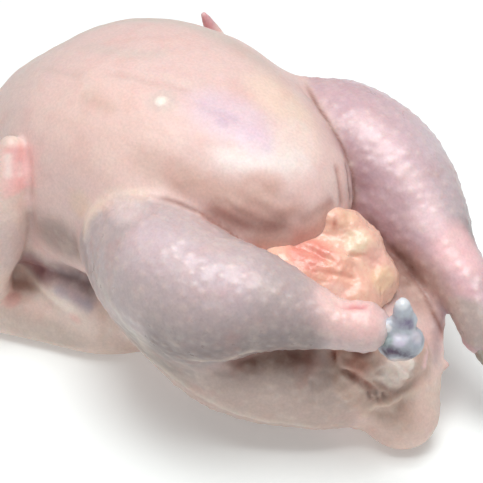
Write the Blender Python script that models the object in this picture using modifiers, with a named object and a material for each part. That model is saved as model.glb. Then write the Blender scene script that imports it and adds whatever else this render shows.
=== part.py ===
"""A raw whole chicken, ready for the oven, lying on its back.

The skin, the fat at the cavity's mouth and the two cut hocks are separate solids. Each soft form is a
blend of masses: ellipsoids, and limbs that taper along a smooth path. The masses are made as primitives,
joined and remeshed, and the mesh is then settled onto the smooth blend of the same masses.

+X runs from the neck to the tail, -Y is the side with the higher drumstick, +Z is up. The masses are in
centimetres, in a working frame whose zero is mid-body on the table.
"""

from dataclasses import dataclass

import bmesh
import bpy
import numpy as np
from mathutils import Euler

CM = 0.01
SKIN_VOXEL = 0.26
SMALL_VOXEL = 0.12
SKIN_TRIANGLES = 7000
FAT_TRIANGLES = 900
HOCK_TRIANGLES = 300
SPANS_A_STOP = 8
POCKET_GAP = 0.035
TABLE_SINK = 0.12
SETTLE_ROUNDS = 6
SMOOTH_ROUNDS = 2
PROBE = 0.01
LONGEST_STEP = 0.25
LEAST_STEEP = 0.25
TABLE_SIZE = 60.0

BREAST_FILLET = 3.5
KEEL_FILLET = 3.2
BODY_FILLET = 1.0
SHOULDER_FILLET = 1.5
TAIL_FILLET = 0.8
VENT_FILLET = 0.5
CREASE_FILLET = 0.35
LEG_FILLET = 0.25
WING_FILLET = 0.3
FOLD_FILLET = 0.4
CARTILAGE_FILLET = 0.28

SKIN_COLOUR = (0.84, 0.62, 0.53, 1.0)
FAT_COLOUR = (0.93, 0.62, 0.38, 1.0)
HOCK_COLOUR = (0.56, 0.62, 0.68, 1.0)
FAR_HOCK_COLOUR = (0.42, 0.38, 0.33, 1.0)
SKIN_ROUGHNESS = 0.45
WET_ROUGHNESS = 0.4


@dataclass(frozen=True)
class Mass:
    """An ellipsoid. pitch turns it about Y, then yaw about Z, in degrees."""

    centre: tuple
    radii: tuple
    pitch: float = 0.0
    yaw: float = 0.0

    def mirrored(self):
        """The same mass on the other side of the body."""
        x, y, z = self.centre
        return Mass((x, -y, z), self.radii, self.pitch, -self.yaw)


@dataclass(frozen=True)
class Limb:
    """A round bar that tapers along a smooth path through its stops. A stop is x, y, z and radius."""

    stops: tuple

    def mirrored(self):
        """The same limb on the other side of the body."""
        return Limb(tuple((x, -y, z, radius) for x, y, z, radius in self.stops))


RIB_CAGE = Mass((-0.8, 0.0, 4.9), (7.4, 4.9, 4.95))
BREAST_FRONT = Mass((-2.6, -2.0, 6.6), (6.3, 3.85, 4.75), pitch=2.0)
BREAST_REAR = Mass((2.3, -1.3, 8.6), (4.9, 2.5, 2.5), pitch=7.0, yaw=7.0)
BELLY = Mass((5.9, 0.0, 4.0), (4.5, 3.1, 3.1))
RUMP = Mass((7.3, 0.0, 2.9), (4.6, 3.4, 2.95))
SHOULDERS = Mass((-7.2, 0.0, 4.4), (2.7, 3.6, 3.4))
NECK_FLAP = Mass((-8.45, 0.1, 3.4), (1.2, 3.0, 3.1), pitch=-12.0)
TAIL_ROOT = Mass((10.4, 0.0, 2.2), (1.8, 2.0, 1.7))
TAIL = Mass((11.55, -0.45, 1.45), (1.6, 1.5, 1.45), yaw=-8.0)
VENT = (
    Mass((10.5, -1.7, 4.0), (1.1, 1.5, 1.6)),
    Mass((11.35, -0.8, 3.9), (0.75, 0.8, 0.85)),
    Mass((11.35, -1.6, 3.3), (0.7, 0.7, 0.7)),
    Mass((11.1, 0.1, 3.6), (0.9, 0.9, 0.9)),
)
VENT_CREASE = Limb(
    (
        (9.9, -3.5, 5.6, 0.12),
        (10.6, -3.3, 5.1, 0.2),
        (11.15, -2.7, 4.0, 0.22),
        (11.45, -2.0, 3.0, 0.22),
        (11.7, -1.0, 2.7, 0.2),
        (11.7, -0.2, 2.8, 0.12),
    )
)
THIGH = Limb(((1.9, -4.5, 6.2, 2.1), (3.6, -4.2, 4.9, 2.8), (6.0, -3.4, 3.9, 3.05), (8.6, -2.1, 3.0, 2.35)))
NEAR_DRUMSTICK = Limb(
    (
        (1.9, -4.7, 7.0, 1.9),
        (3.6, -5.2, 7.0, 2.6),
        (5.6, -5.1, 7.2, 2.75),
        (7.6, -4.55, 7.35, 2.15),
        (9.2, -3.8, 7.35, 1.55),
        (10.4, -3.2, 7.25, 1.17),
        (11.35, -2.7, 7.15, 1.15),
    )
)
FAR_DRUMSTICK = Limb(
    (
        (1.7, 4.5, 7.4, 2.0),
        (3.8, 4.7, 7.9, 2.55),
        (6.0, 4.7, 7.2, 2.55),
        (8.2, 4.5, 6.5, 1.95),
        (10.0, 4.0, 5.85, 1.45),
        (11.8, 3.4, 5.05, 1.15),
        (12.8, 2.95, 4.4, 1.1),
    )
)
KNEE_WEB = Limb(((2.6, -4.9, 4.6, 0.9), (1.35, -4.6, 5.9, 0.9), (1.3, -4.3, 7.4, 0.8), (2.4, -4.3, 8.6, 0.6)))
TAIL_STRIP = Limb(
    ((10.7, 3.0, 4.7, 0.5), (11.2, 2.4, 3.8, 0.42), (11.7, 1.7, 2.8, 0.4), (11.8, 0.8, 2.2, 0.4))
)
STRIP_POINT = Limb(((11.6, 1.7, 2.7, 0.35), (11.9, 2.1, 2.9, 0.16), (12.05, 2.35, 2.95, 0.08)))
UPPER_ARM = Limb(((-5.6, -4.0, 5.0, 1.9), (-2.5, -4.5, 3.4, 1.6), (0.8, -4.2, 2.2, 1.3)))
FOREARM = Limb(
    ((1.2, -3.95, 1.65, 1.2), (-0.6, -4.8, 1.3, 1.35), (-3.1, -5.75, 1.25, 1.3), (-5.4, -6.5, 1.35, 1.3))
)
HAND_STOPS = (
    (-5.4, -6.6, 1.5, 1.2),
    (-4.85, -6.75, 3.4, 1.3),
    (-4.3, -6.45, 5.7, 1.22),
    (-4.1, -6.05, 7.6, 0.95),
)
NEAR_HAND = Limb((*HAND_STOPS, (-4.15, -5.5, 9.2, 0.5)))
FAR_HAND = Limb((*HAND_STOPS, (-4.3, -5.75, 9.3, 0.6), (-4.05, -5.75, 10.6, 0.16))).mirrored()
WING_WEB = Mass((-2.6, -4.9, 2.6), (2.9, 0.9, 1.7), pitch=14.0, yaw=-14.0)
FAT_LUMPS = (
    Mass((7.7, -0.9, 6.4), (1.8, 1.9, 1.7)),
    Mass((8.2, 0.5, 7.3), (1.15, 1.1, 1.0)),
    Mass((9.2, 0.5, 6.2), (1.0, 1.0, 1.1)),
    Mass((8.9, -0.8, 6.0), (1.5, 1.3, 1.2)),
    Mass((7.3, 0.5, 8.0), (0.75, 0.65, 0.8)),
    Mass((7.0, -2.2, 7.0), (1.2, 1.2, 1.0)),
)
NEAR_HOCK = (
    Mass((12.5, -1.95, 6.65), (0.75, 0.95, 0.62), yaw=-50.0),
    Mass((12.4, -1.95, 7.3), (0.45, 0.5, 0.55)),
    Mass((12.5, -1.95, 7.85), (0.36, 0.36, 0.34)),
)
FAR_HOCK = (
    Mass((13.45, 2.65, 3.85), (0.85, 0.95, 0.8), pitch=40.0),
    Mass((13.75, 2.1, 3.75), (0.5, 0.45, 0.55)),
)


def turn(mass):
    """The rotation matrix of a mass, from its own axes to the working frame."""
    return np.array(Euler((0.0, np.radians(mass.pitch), np.radians(mass.yaw)), "XYZ").to_matrix())


def mass_distance(mass, points):
    """Signed distance from points to an ellipsoid, close to exact near its surface."""
    local = (points - np.array(mass.centre)) @ turn(mass)
    radii = np.array(mass.radii)
    reach = np.linalg.norm(local / radii, axis=1)
    slope = np.linalg.norm(local / radii**2, axis=1) + 1e-9
    return reach * (reach - 1) / slope


def path(limb):
    """Points and radii along the smooth curve through a limb's stops."""
    stops = np.array(limb.stops, float)
    ends = np.vstack((2 * stops[0] - stops[1], stops, 2 * stops[-1] - stops[-2]))
    rows = []
    for before, start, end, after in zip(ends, ends[1:], ends[2:], ends[3:]):
        for step in range(SPANS_A_STOP):
            t = step / SPANS_A_STOP
            bend = (2 * before - 5 * start + 4 * end - after) * t**2
            twist = (3 * start - before - 3 * end + after) * t**3
            rows.append(0.5 * (2 * start + (end - before) * t + bend + twist))
    return np.array([*rows, stops[-1]])


def limb_distance(limb, points):
    """Signed distance from points to a limb."""
    nearest = np.full(len(points), np.inf)
    rows = path(limb)
    for start, end in zip(rows, rows[1:]):
        along = end[:3] - start[:3]
        offset = points - start[:3]
        share = np.clip(offset @ along / (along @ along), 0, 1)
        gap = np.linalg.norm(offset - share[:, None] * along, axis=1)
        nearest = np.minimum(nearest, gap - start[3] - share * (end[3] - start[3]))
    return nearest


def distance(shape, points):
    """Signed distance from points to a mass or a limb."""
    if isinstance(shape, Mass):
        return mass_distance(shape, points)
    return limb_distance(shape, points)


def blend(first, second, width):
    """The union of two distances, with a fillet as wide as width."""
    overlap = np.maximum(width - np.abs(first - second), 0) / width
    return np.minimum(first, second) - overlap**2 * width / 4


def carve(form, cutter, width):
    """A distance with another cut out of it, and the edge rounded by width."""
    return -blend(-form, cutter, width)


def lumps(shapes, width, points):
    """Several shapes blended into one distance."""
    total = distance(shapes[0], points)
    for shape in shapes[1:]:
        total = blend(total, distance(shape, points), width)
    return total


def trunk_distance(points):
    """The body without its limbs: ribs, the two breast lobes, belly, rump and neck end."""
    near_breast = lumps((BREAST_FRONT, BREAST_REAR), BREAST_FILLET, points)
    far_breast = lumps((BREAST_FRONT.mirrored(), BREAST_REAR.mirrored()), BREAST_FILLET, points)
    form = blend(mass_distance(RIB_CAGE, points), blend(near_breast, far_breast, KEEL_FILLET), BODY_FILLET)
    for mass in (BELLY, RUMP):
        form = blend(form, mass_distance(mass, points), BODY_FILLET)
    form = blend(form, mass_distance(SHOULDERS, points), SHOULDER_FILLET)
    return blend(form, mass_distance(NECK_FLAP, points), VENT_FILLET)


def wing_distance(hand, points):
    """The folded wing that a hand belongs to, with the skin web between its two bars."""
    shapes = (WING_WEB, UPPER_ARM, FOREARM)
    if hand is FAR_HAND:
        shapes = tuple(shape.mirrored() for shape in shapes)
    return lumps((*shapes, hand), FOLD_FILLET, points)


def carcass_distance(points):
    """All that the skin covers."""
    form = blend(trunk_distance(points), lumps((TAIL_ROOT, TAIL), TAIL_FILLET, points), TAIL_FILLET)
    for thigh in (THIGH, THIGH.mirrored()):
        form = blend(form, limb_distance(thigh, points), BODY_FILLET)
    form = blend(form, lumps(VENT, FOLD_FILLET, points), VENT_FILLET)
    form = blend(form, limb_distance(TAIL_STRIP, points), TAIL_FILLET)
    form = blend(form, limb_distance(STRIP_POINT, points), LEG_FILLET)
    form = carve(form, limb_distance(VENT_CREASE, points), CREASE_FILLET)
    for leg in ((NEAR_DRUMSTICK, KNEE_WEB), (FAR_DRUMSTICK, KNEE_WEB.mirrored())):
        form = blend(form, lumps(leg, FOLD_FILLET, points), LEG_FILLET)
    for hand in (NEAR_HAND, FAR_HAND):
        form = blend(form, wing_distance(hand, points), WING_FILLET)
    return form


def fat_distance(points):
    """The soft fat at the cavity's mouth."""
    return lumps(FAT_LUMPS, FOLD_FILLET, points)


def near_hock_distance(points):
    """The cartilage cap on the near drumstick."""
    return lumps(NEAR_HOCK, CARTILAGE_FILLET, points)


def far_hock_distance(points):
    """The cartilage cap on the far drumstick."""
    return lumps(FAR_HOCK, CARTILAGE_FILLET, points)


def add_mass(mass):
    """An ellipsoid primitive in the scene."""
    bpy.ops.mesh.primitive_uv_sphere_add(segments=40, ring_count=20, radius=1.0)
    ball = bpy.context.object
    ball.scale = mass.radii
    ball.rotation_euler = (0.0, np.radians(mass.pitch), np.radians(mass.yaw))
    ball.location = mass.centre
    return ball


def add_limb(limb):
    """A limb as a bevelled curve with a ball at each end, made into one mesh object."""
    rows = path(limb)
    curve = bpy.data.curves.new("limb", "CURVE")
    curve.dimensions = "3D"
    curve.bevel_depth = 1.0
    curve.bevel_resolution = 6
    curve.use_fill_caps = True
    spline = curve.splines.new("POLY")
    spline.points.add(len(rows) - 1)
    for point, (x, y, z, radius) in zip(spline.points, rows):
        point.co = (x, y, z, 1.0)
        point.radius = radius
    guide = bpy.data.objects.new("limb", curve)
    bpy.context.collection.objects.link(guide)
    bpy.context.view_layer.update()
    bar_mesh = bpy.data.meshes.new_from_object(guide.evaluated_get(bpy.context.evaluated_depsgraph_get()))
    bpy.data.objects.remove(guide)
    bar = bpy.data.objects.new("limb", bar_mesh)
    bpy.context.collection.objects.link(bar)
    tips = [add_mass(Mass(tuple(row[:3]), (row[3],) * 3)) for row in (rows[0], rows[-1])]
    return [bar, *tips]


def remeshed(shapes, voxel):
    """One closed mesh round several masses and limbs."""
    pieces = []
    for shape in shapes:
        pieces.extend([add_mass(shape)] if isinstance(shape, Mass) else add_limb(shape))
    whole = bmesh.new()
    bpy.context.view_layer.update()
    for piece in pieces:
        piece.data.transform(piece.matrix_world)
        whole.from_mesh(piece.data)
    mesh = bpy.data.meshes.new("rough")
    whole.to_mesh(mesh)
    whole.free()
    for piece in pieces:
        bpy.data.objects.remove(piece)
    rough = bpy.data.objects.new("rough", mesh)
    bpy.context.collection.objects.link(rough)
    remesh = rough.modifiers.new("remesh", "REMESH")
    remesh.mode = "VOXEL"
    remesh.voxel_size = voxel
    bpy.context.view_layer.update()
    closed = bpy.data.meshes.new_from_object(rough.evaluated_get(bpy.context.evaluated_depsgraph_get()))
    bpy.data.objects.remove(rough)
    return closed


def vertex_array(mesh):
    """The mesh's vertices as an array of rows."""
    flat = np.empty(3 * len(mesh.vertices))
    mesh.vertices.foreach_get("co", flat)
    return flat.reshape(-1, 3)


def settle(points, form, offset=0.0):
    """Moves points along a form's slope until they lie on its surface, or offset outside it."""
    for _ in range(SETTLE_ROUNDS):
        here = form(points) - offset
        slope = np.stack([form(points + PROBE * axis) - offset - here for axis in np.eye(3)], axis=1) / PROBE
        steep = np.maximum((slope**2).sum(axis=1), LEAST_STEEP)
        step = -(here / steep)[:, None] * slope
        length = np.linalg.norm(step, axis=1, keepdims=True)
        points = points + step * np.minimum(1, LONGEST_STEP / np.maximum(length, 1e-9))
    return points


def relax(mesh, points, rounds):
    """Evens out the spacing of points by moving each to the middle of its neighbours."""
    pairs = np.empty(2 * len(mesh.edges), np.int64)
    mesh.edges.foreach_get("vertices", pairs)
    ends = pairs.reshape(-1, 2)
    count = np.bincount(pairs, minlength=len(points))[:, None]
    for _ in range(rounds):
        total = np.zeros_like(points)
        np.add.at(total, ends[:, 0], points[ends[:, 1]])
        np.add.at(total, ends[:, 1], points[ends[:, 0]])
        points = 0.5 * points + 0.5 * total / count
    return points


def form_mesh(shapes, form, voxel):
    """The settled mesh of a blended form."""
    mesh = remeshed(shapes, voxel)
    points = settle(vertex_array(mesh), form)
    points = settle(relax(mesh, points, SMOOTH_ROUNDS), form)
    points = relax(mesh, points, 1)
    mesh.vertices.foreach_set("co", points.reshape(-1))
    mesh.update()
    return mesh


def material(name, colour, roughness):
    """A Principled material of one colour."""
    made = bpy.data.materials.new(name)
    made.use_nodes = True
    shader = made.node_tree.nodes["Principled BSDF"]
    shader.inputs["Base Color"].default_value = colour
    shader.inputs["Roughness"].default_value = roughness
    return made


def add_piece(name, mesh, collection, triangles):
    """An object of this mesh, thinned to about so many triangles."""
    piece = bpy.data.objects.new(name, mesh)
    collection.objects.link(piece)
    thin = piece.modifiers.new("thin", "DECIMATE")
    mesh.calc_loop_triangles()
    thin.ratio = min(1.0, triangles / len(mesh.loop_triangles))
    thin.use_collapse_triangulate = True
    mesh.shade_smooth()
    return piece


def apply_modifiers(piece):
    """The piece's evaluated mesh in place of its mesh and modifiers."""
    bpy.context.view_layer.update()
    done = bpy.data.meshes.new_from_object(piece.evaluated_get(bpy.context.evaluated_depsgraph_get()))
    piece.modifiers.clear()
    piece.data = done


def add_cutter(name, mesh, collection):
    """A hidden object that only cuts others."""
    cutter = bpy.data.objects.new(name, mesh)
    collection.objects.link(cutter)
    cutter.hide_render = True
    cutter.display_type = "WIRE"
    return cutter


def add_pocket(piece, form, collection):
    """A cutter a little larger all round than a piece, with the same faces."""
    mesh = piece.data.copy()
    points = vertex_array(mesh)
    probes = PROBE * np.eye(3)
    slope = np.stack([form(points + probe) - form(points - probe) for probe in probes], axis=1)
    outward = slope / np.linalg.norm(slope, axis=1, keepdims=True)
    mesh.vertices.foreach_set("co", (points + POCKET_GAP * outward).reshape(-1))
    mesh.update()
    return add_cutter(f"{piece.name}_pocket", mesh, collection)


def cut(piece, cutters):
    """Boolean differences on a piece."""
    for cutter in cutters:
        made = piece.modifiers.new(cutter.name, "BOOLEAN")
        made.operation = "DIFFERENCE"
        made.object = cutter


def cut_flat_underside(piece, collection):
    """Takes off what reaches below the table, so that the piece rests on flat patches."""
    bpy.ops.mesh.primitive_cube_add(size=TABLE_SIZE, location=(0.0, 0.0, TABLE_SINK - TABLE_SIZE / 2))
    table = bpy.context.object
    table.name = "table_level"
    for owner in list(table.users_collection):
        owner.objects.unlink(table)
    collection.objects.link(table)
    table.hide_render = True
    table.display_type = "WIRE"
    cut(piece, [table])


def place(pieces):
    """Scales the pieces from centimetres to metres, with the bounding box's bottom centre at the origin."""
    rows = np.vstack([vertex_array(piece.data) for piece in pieces])
    low, high = rows.min(axis=0), rows.max(axis=0)
    shift = np.array(((low[0] + high[0]) / 2, (low[1] + high[1]) / 2, low[2]))
    for piece in pieces:
        points = (vertex_array(piece.data) - shift) * CM
        piece.data.vertices.foreach_set("co", points.reshape(-1))
        piece.data.update()
    print("working frame's zero in the object's frame, cm:", np.round(-shift, 4))


def build():
    """Makes the four solids."""
    for leftover in list(bpy.data.objects):
        bpy.data.objects.remove(leftover)
    chicken = bpy.data.collections.new("whole_chicken")
    cutters = bpy.data.collections.new("cutters")
    for collection in (chicken, cutters):
        bpy.context.scene.collection.children.link(collection)

    shapes = [RIB_CAGE, BELLY, RUMP, SHOULDERS, NECK_FLAP, TAIL_ROOT, TAIL, *VENT, TAIL_STRIP, STRIP_POINT]
    shapes.extend((NEAR_DRUMSTICK, FAR_DRUMSTICK, NEAR_HAND, FAR_HAND))
    for shape in (BREAST_FRONT, BREAST_REAR, WING_WEB, THIGH, KNEE_WEB, UPPER_ARM, FOREARM):
        shapes.extend((shape, shape.mirrored()))
    skin_mesh = form_mesh(shapes, carcass_distance, SKIN_VOXEL)
    skin = add_piece("carcass", skin_mesh, chicken, SKIN_TRIANGLES)
    small = (
        ("belly_fat", FAT_LUMPS, fat_distance, FAT_TRIANGLES, FAT_COLOUR),
        ("hock_cartilage_right", NEAR_HOCK, near_hock_distance, HOCK_TRIANGLES, HOCK_COLOUR),
        ("hock_cartilage_left", FAR_HOCK, far_hock_distance, HOCK_TRIANGLES, FAR_HOCK_COLOUR),
    )
    pieces = [skin]
    pockets = []
    for name, lumps_of_piece, form, triangles, colour in small:
        piece = add_piece(name, form_mesh(lumps_of_piece, form, SMALL_VOXEL), chicken, triangles)
        apply_modifiers(piece)
        piece.data.materials.append(material(name, colour, WET_ROUGHNESS))
        pockets.append(add_pocket(piece, form, cutters))
        pieces.append(piece)
    apply_modifiers(skin)
    cut(skin, pockets)
    cut_flat_underside(skin, cutters)
    apply_modifiers(skin)
    skin.data.materials.clear()
    skin.data.materials.append(material("skin", SKIN_COLOUR, SKIN_ROUGHNESS))
    place(pieces)


build()
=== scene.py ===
"""A raw whole chicken on a pale studio floor: the skin, the fat at the cavity's mouth and the cut hocks.

The forms are the ones that the solids have, at a finer grain, and then folded, creased and pitted as skin
is. Masses are in centimetres in a working frame: +X runs from the neck to the tail, -Y is the side of the
near drumstick, and the table's surface is at TABLE_LEVEL.
"""

from __future__ import annotations

import logging
import math
from dataclasses import dataclass
from enum import Enum
from itertools import product
from typing import Callable, Sequence, TypeVar

import bmesh
import bpy
import numpy as np
from mathutils import Euler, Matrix, Vector, kdtree, noise


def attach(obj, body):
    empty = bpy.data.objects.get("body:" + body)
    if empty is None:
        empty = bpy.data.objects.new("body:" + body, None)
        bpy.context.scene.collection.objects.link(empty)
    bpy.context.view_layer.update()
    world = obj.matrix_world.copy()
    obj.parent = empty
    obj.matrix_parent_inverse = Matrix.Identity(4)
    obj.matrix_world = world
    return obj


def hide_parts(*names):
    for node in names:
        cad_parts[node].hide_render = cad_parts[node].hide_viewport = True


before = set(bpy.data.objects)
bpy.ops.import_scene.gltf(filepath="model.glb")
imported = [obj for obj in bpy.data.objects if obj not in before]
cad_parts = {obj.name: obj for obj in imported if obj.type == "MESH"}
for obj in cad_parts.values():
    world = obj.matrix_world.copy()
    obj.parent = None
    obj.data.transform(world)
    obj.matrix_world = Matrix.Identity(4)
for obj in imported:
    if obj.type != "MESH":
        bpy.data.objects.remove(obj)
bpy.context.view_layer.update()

log = logging.getLogger("chicken")

CM = 0.01
WORKING_ZERO = np.array((-2.1417, -0.0085, -0.12))
TABLE_LEVEL = 0.12
SEED = 7
# A limb has so many straight spans from stop to stop, and points further than REACH from it are FAR_AWAY
SPANS_A_STOP = 6
REACH = 1.3
FAR_AWAY = 6.0
LIMB_FILLET = 0.4
SOFT_EDGE = 0.6
FOLD_FADE = 0.18
TINY = 1e-9
# How far apart two seeds' places in the noise are
NOISE_STRIDE = 17.3
# A sculpt's first mesh is coarser by this, and settles in so many rounds of steps no longer than this
ROUGH_SHARE = 2.4
SETTLING_ROUNDS = 5
LONGEST_STEP = 0.3
# The colour mix node's sockets, which share their names with its other kinds
MIX_FIRST, MIX_SECOND, MIX_RESULT = 6, 7, 2

Form = Callable[[np.ndarray], np.ndarray]
Place = tuple[float, float, float]
Colour = tuple[float, float, float]
Range = tuple[float, float]
Line = tuple[Place, ...]


def to_row(points: np.ndarray) -> np.ndarray:
    """Points of the working frame in the object's frame, in metres."""
    return (points + WORKING_ZERO) * CM


def linear(colour: Colour) -> np.ndarray:
    """A colour as the eye names it, 0 to 255, made linear."""
    share = np.array(colour, float) / 255
    return np.where(share <= 0.04045, share / 12.92, ((share + 0.055) / 1.055) ** 2.4)


def rgba(colour: Colour) -> tuple[float, float, float, float]:
    """A colour 0 to 255 as a shader socket takes it."""
    red, green, blue = linear(colour)
    return (float(red), float(green), float(blue), 1.0)


def smooth(low: float, high: float, values: np.ndarray) -> np.ndarray:
    """A soft step from 0 at low to 1 at high, which may be the smaller of the two."""
    share = np.clip((values - low) / (high - low), 0, 1)
    return share * share * (3 - 2 * share)


@dataclass(frozen=True)
class Mass:
    """An ellipsoid. pitch turns it about Y, then yaw about Z, in degrees."""

    centre: Place
    radii: Place
    pitch: float = 0.0
    yaw: float = 0.0

    def mirrored(self) -> Mass:
        """The same mass on the other side of the body."""
        x, y, z = self.centre
        return Mass((x, -y, z), self.radii, self.pitch, -self.yaw)

    def turn(self) -> Euler:
        """How the mass is turned."""
        return Euler((0.0, math.radians(self.pitch), math.radians(self.yaw)), "XYZ")

    def local(self, points: np.ndarray) -> np.ndarray:
        """The points from the mass's centre, along its own axes."""
        return (points - np.array(self.centre)) @ np.array(self.turn().to_matrix())

    def distance(self, points: np.ndarray) -> np.ndarray:
        """Signed distance from points, close to exact near the surface.

        Args:
            points: rows of x, y, z.

        Returns:
            One distance a row, negative inside.
        """
        local = self.local(points)
        radii = np.array(self.radii)
        reach = np.linalg.norm(local / radii, axis=1)
        slope = np.linalg.norm(local / radii**2, axis=1) + TINY
        return reach * (reach - 1) / slope

    def weight(self, points: np.ndarray, softness: float = SOFT_EDGE) -> np.ndarray:
        """A share for each point, 1 in the middle and 0 from the surface outwards.

        Args:
            points: rows of x, y, z.
            softness: how much of the way to the surface the fall from 1 to 0 takes.

        Returns:
            Shares from 0 to 1.
        """
        reach = np.linalg.norm(self.local(points) / np.array(self.radii), axis=1)
        return smooth(1.0, 1.0 - softness, reach)

    def add(self) -> list[bpy.types.Object]:
        """An ellipsoid primitive in the scene.

        Returns:
            The one new object.
        """
        bpy.ops.mesh.primitive_uv_sphere_add(segments=48, ring_count=24, radius=1.0)
        ball = bpy.context.object
        ball.scale = self.radii
        ball.rotation_euler = self.turn()
        ball.location = self.centre
        return [ball]


@dataclass(frozen=True)
class Limb:
    """A round bar that tapers along a smooth path. A stop is x, y, z and radius."""

    stops: tuple[tuple[float, float, float, float], ...]

    def mirrored(self) -> Limb:
        """The same limb on the other side of the body."""
        return Limb(tuple((x, -y, z, radius) for x, y, z, radius in self.stops))

    def path(self) -> np.ndarray:
        """Points and radii along the smooth curve through the stops.

        Returns:
            Rows of x, y, z and radius.
        """
        stops = np.array(self.stops, float)
        ends = np.vstack((2 * stops[0] - stops[1], stops, 2 * stops[-1] - stops[-2]))
        rows = []
        for before, start, end, after in zip(ends, ends[1:], ends[2:], ends[3:]):
            for step in range(SPANS_A_STOP):
                t = step / SPANS_A_STOP
                bend = (2 * before - 5 * start + 4 * end - after) * t**2
                twist = (3 * start - before - 3 * end + after) * t**3
                rows.append(0.5 * (2 * start + (end - before) * t + bend + twist))
        return np.array([*rows, stops[-1]])

    def follow(self, points: np.ndarray, reach: float) -> tuple[np.ndarray, np.ndarray]:
        """Distance from points to the limb's surface, and how far along it the nearest place is.

        Args:
            points: rows of x, y, z.
            reach: points further than this from the limb's box are given FAR_AWAY.

        Returns:
            The distances, and the places as a share from 0 at the first stop to 1 at the last.
        """
        rows = self.path()
        low = (rows[:, :3] - rows[:, 3:]).min(axis=0) - reach
        high = (rows[:, :3] + rows[:, 3:]).max(axis=0) + reach
        near = np.all((points > low) & (points < high), axis=1)
        local = points[near]
        nearest = np.full(len(local), FAR_AWAY)
        place = np.zeros(len(local))
        for index, (start, end) in enumerate(zip(rows, rows[1:])):
            along = end[:3] - start[:3]
            offset = local - start[:3]
            share = np.clip(offset @ along / (along @ along), 0, 1)
            aside = np.linalg.norm(offset - share[:, None] * along, axis=1)
            gap = aside - start[3] - share * (end[3] - start[3])
            closer = gap < nearest
            nearest[closer] = gap[closer]
            place[closer] = (index + share[closer]) / (len(rows) - 1)
        distances = np.full(len(points), FAR_AWAY)
        places = np.zeros(len(points))
        distances[near] = nearest
        places[near] = place
        return distances, places

    def distance(self, points: np.ndarray) -> np.ndarray:
        """Signed distance from points to the limb."""
        return self.follow(points, REACH)[0]

    def add(self) -> list[bpy.types.Object]:
        """The limb as a bevelled curve made into a mesh, with a ball at each end.

        Returns:
            The three objects.
        """
        rows = self.path()
        curve = bpy.data.curves.new("limb", "CURVE")
        curve.dimensions = "3D"
        curve.bevel_depth = 1.0
        curve.bevel_resolution = 8
        curve.use_fill_caps = True
        spline = curve.splines.new("POLY")
        spline.points.add(len(rows) - 1)
        for point, (x, y, z, radius) in zip(spline.points, rows):
            point.co = (x, y, z, 1.0)
            point.radius = radius
        guide = bpy.data.objects.new("limb", curve)
        bpy.context.scene.collection.objects.link(guide)
        bpy.context.view_layer.update()
        graph = bpy.context.evaluated_depsgraph_get()
        bar = bpy.data.objects.new("limb", bpy.data.meshes.new_from_object(guide.evaluated_get(graph)))
        bpy.data.objects.remove(guide)
        bpy.context.scene.collection.objects.link(bar)
        tips = [Mass(tuple(row[:3]), (row[3],) * 3).add()[0] for row in (rows[0], rows[-1])]
        return [bar, *tips]


def blend(first: np.ndarray, second: np.ndarray, width: float) -> np.ndarray:
    """The union of two distances, with a fillet as wide as width."""
    overlap = np.maximum(width - np.abs(first - second), 0) / width
    return np.minimum(first, second) - overlap**2 * width / 4


def carve(form: np.ndarray, cutter: np.ndarray, width: float) -> np.ndarray:
    """A distance with another cut out of it, and the edge rounded by width."""
    return -blend(-form, cutter, width)


def lumps(shapes: Sequence[Mass | Limb], width: float, points: np.ndarray) -> np.ndarray:
    """Several shapes blended into one distance.

    Args:
        shapes: what is blended, in order.
        width: the fillet between them.
        points: rows of x, y, z.

    Returns:
        One distance a row.
    """
    total = shapes[0].distance(points)
    for shape in shapes[1:]:
        total = blend(total, shape.distance(points), width)
    return total


@dataclass(frozen=True)
class Fold:
    """A line of relief on the skin: a groove where height is negative, a ridge where it is positive."""

    stops: Line
    width: float
    height: float = 1.0

    def mirrored(self) -> Fold:
        """The same fold on the other side of the body."""
        return Fold(tuple((x, -y, z) for x, y, z in self.stops), self.width, self.height)

    def relief(self, points: np.ndarray) -> np.ndarray:
        """How far the fold lifts each point, fading out at the fold's two ends.

        Args:
            points: rows of x, y, z.

        Returns:
            Heights in centimetres.
        """
        line = Limb(tuple((*stop, 0.0) for stop in self.stops))
        gap, place = line.follow(points, 4 * self.width)
        fade = smooth(0.0, FOLD_FADE, place) * smooth(1.0, 1.0 - FOLD_FADE, place)
        return self.height * fade * np.exp(-((gap / self.width) ** 2))


@dataclass(frozen=True)
class StainAndPaintedLight:
    """A soft patch of another colour on a surface. Some are the skin's own tones; others are painted shade
    and painted highlights. amount is how much of it shows at its middle.
    """

    shape: Mass | Fold
    colour: Colour
    amount: float
    softness: float = SOFT_EDGE

    def mirrored(self) -> StainAndPaintedLight:
        """The same patch on the other side of the body."""
        return StainAndPaintedLight(self.shape.mirrored(), self.colour, self.amount, self.softness)

    def weight(self, points: np.ndarray) -> np.ndarray:
        """How much of the patch each point takes.

        Args:
            points: rows of x, y, z.

        Returns:
            Shares from 0 to 1.
        """
        if isinstance(self.shape, Fold):
            return self.amount * np.abs(self.shape.relief(points)) / abs(self.shape.height)
        return self.amount * self.shape.weight(points, self.softness)


Twin = TypeVar("Twin", Mass, Limb, Fold, StainAndPaintedLight)


def mirrored(things: Sequence[Twin]) -> list[Twin]:
    """The same things on the other side of the body."""
    return [thing.mirrored() for thing in things]


def spot(centre: Place, radii: Place, colour: Colour, amount: float, softness: float = SOFT_EDGE) -> StainAndPaintedLight:
    """A patch of colour in the form of an ellipsoid: the skin's own tone, painted shade or a painted
    highlight.
    """
    return StainAndPaintedLight(Mass(centre, radii), colour, amount, softness)


def streak(line: Line, width: float, colour: Colour, amount: float) -> StainAndPaintedLight:
    """A patch of colour along a line: the skin's own tone, painted shade or a painted highlight."""
    return StainAndPaintedLight(Fold(line, width), colour, amount)


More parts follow.
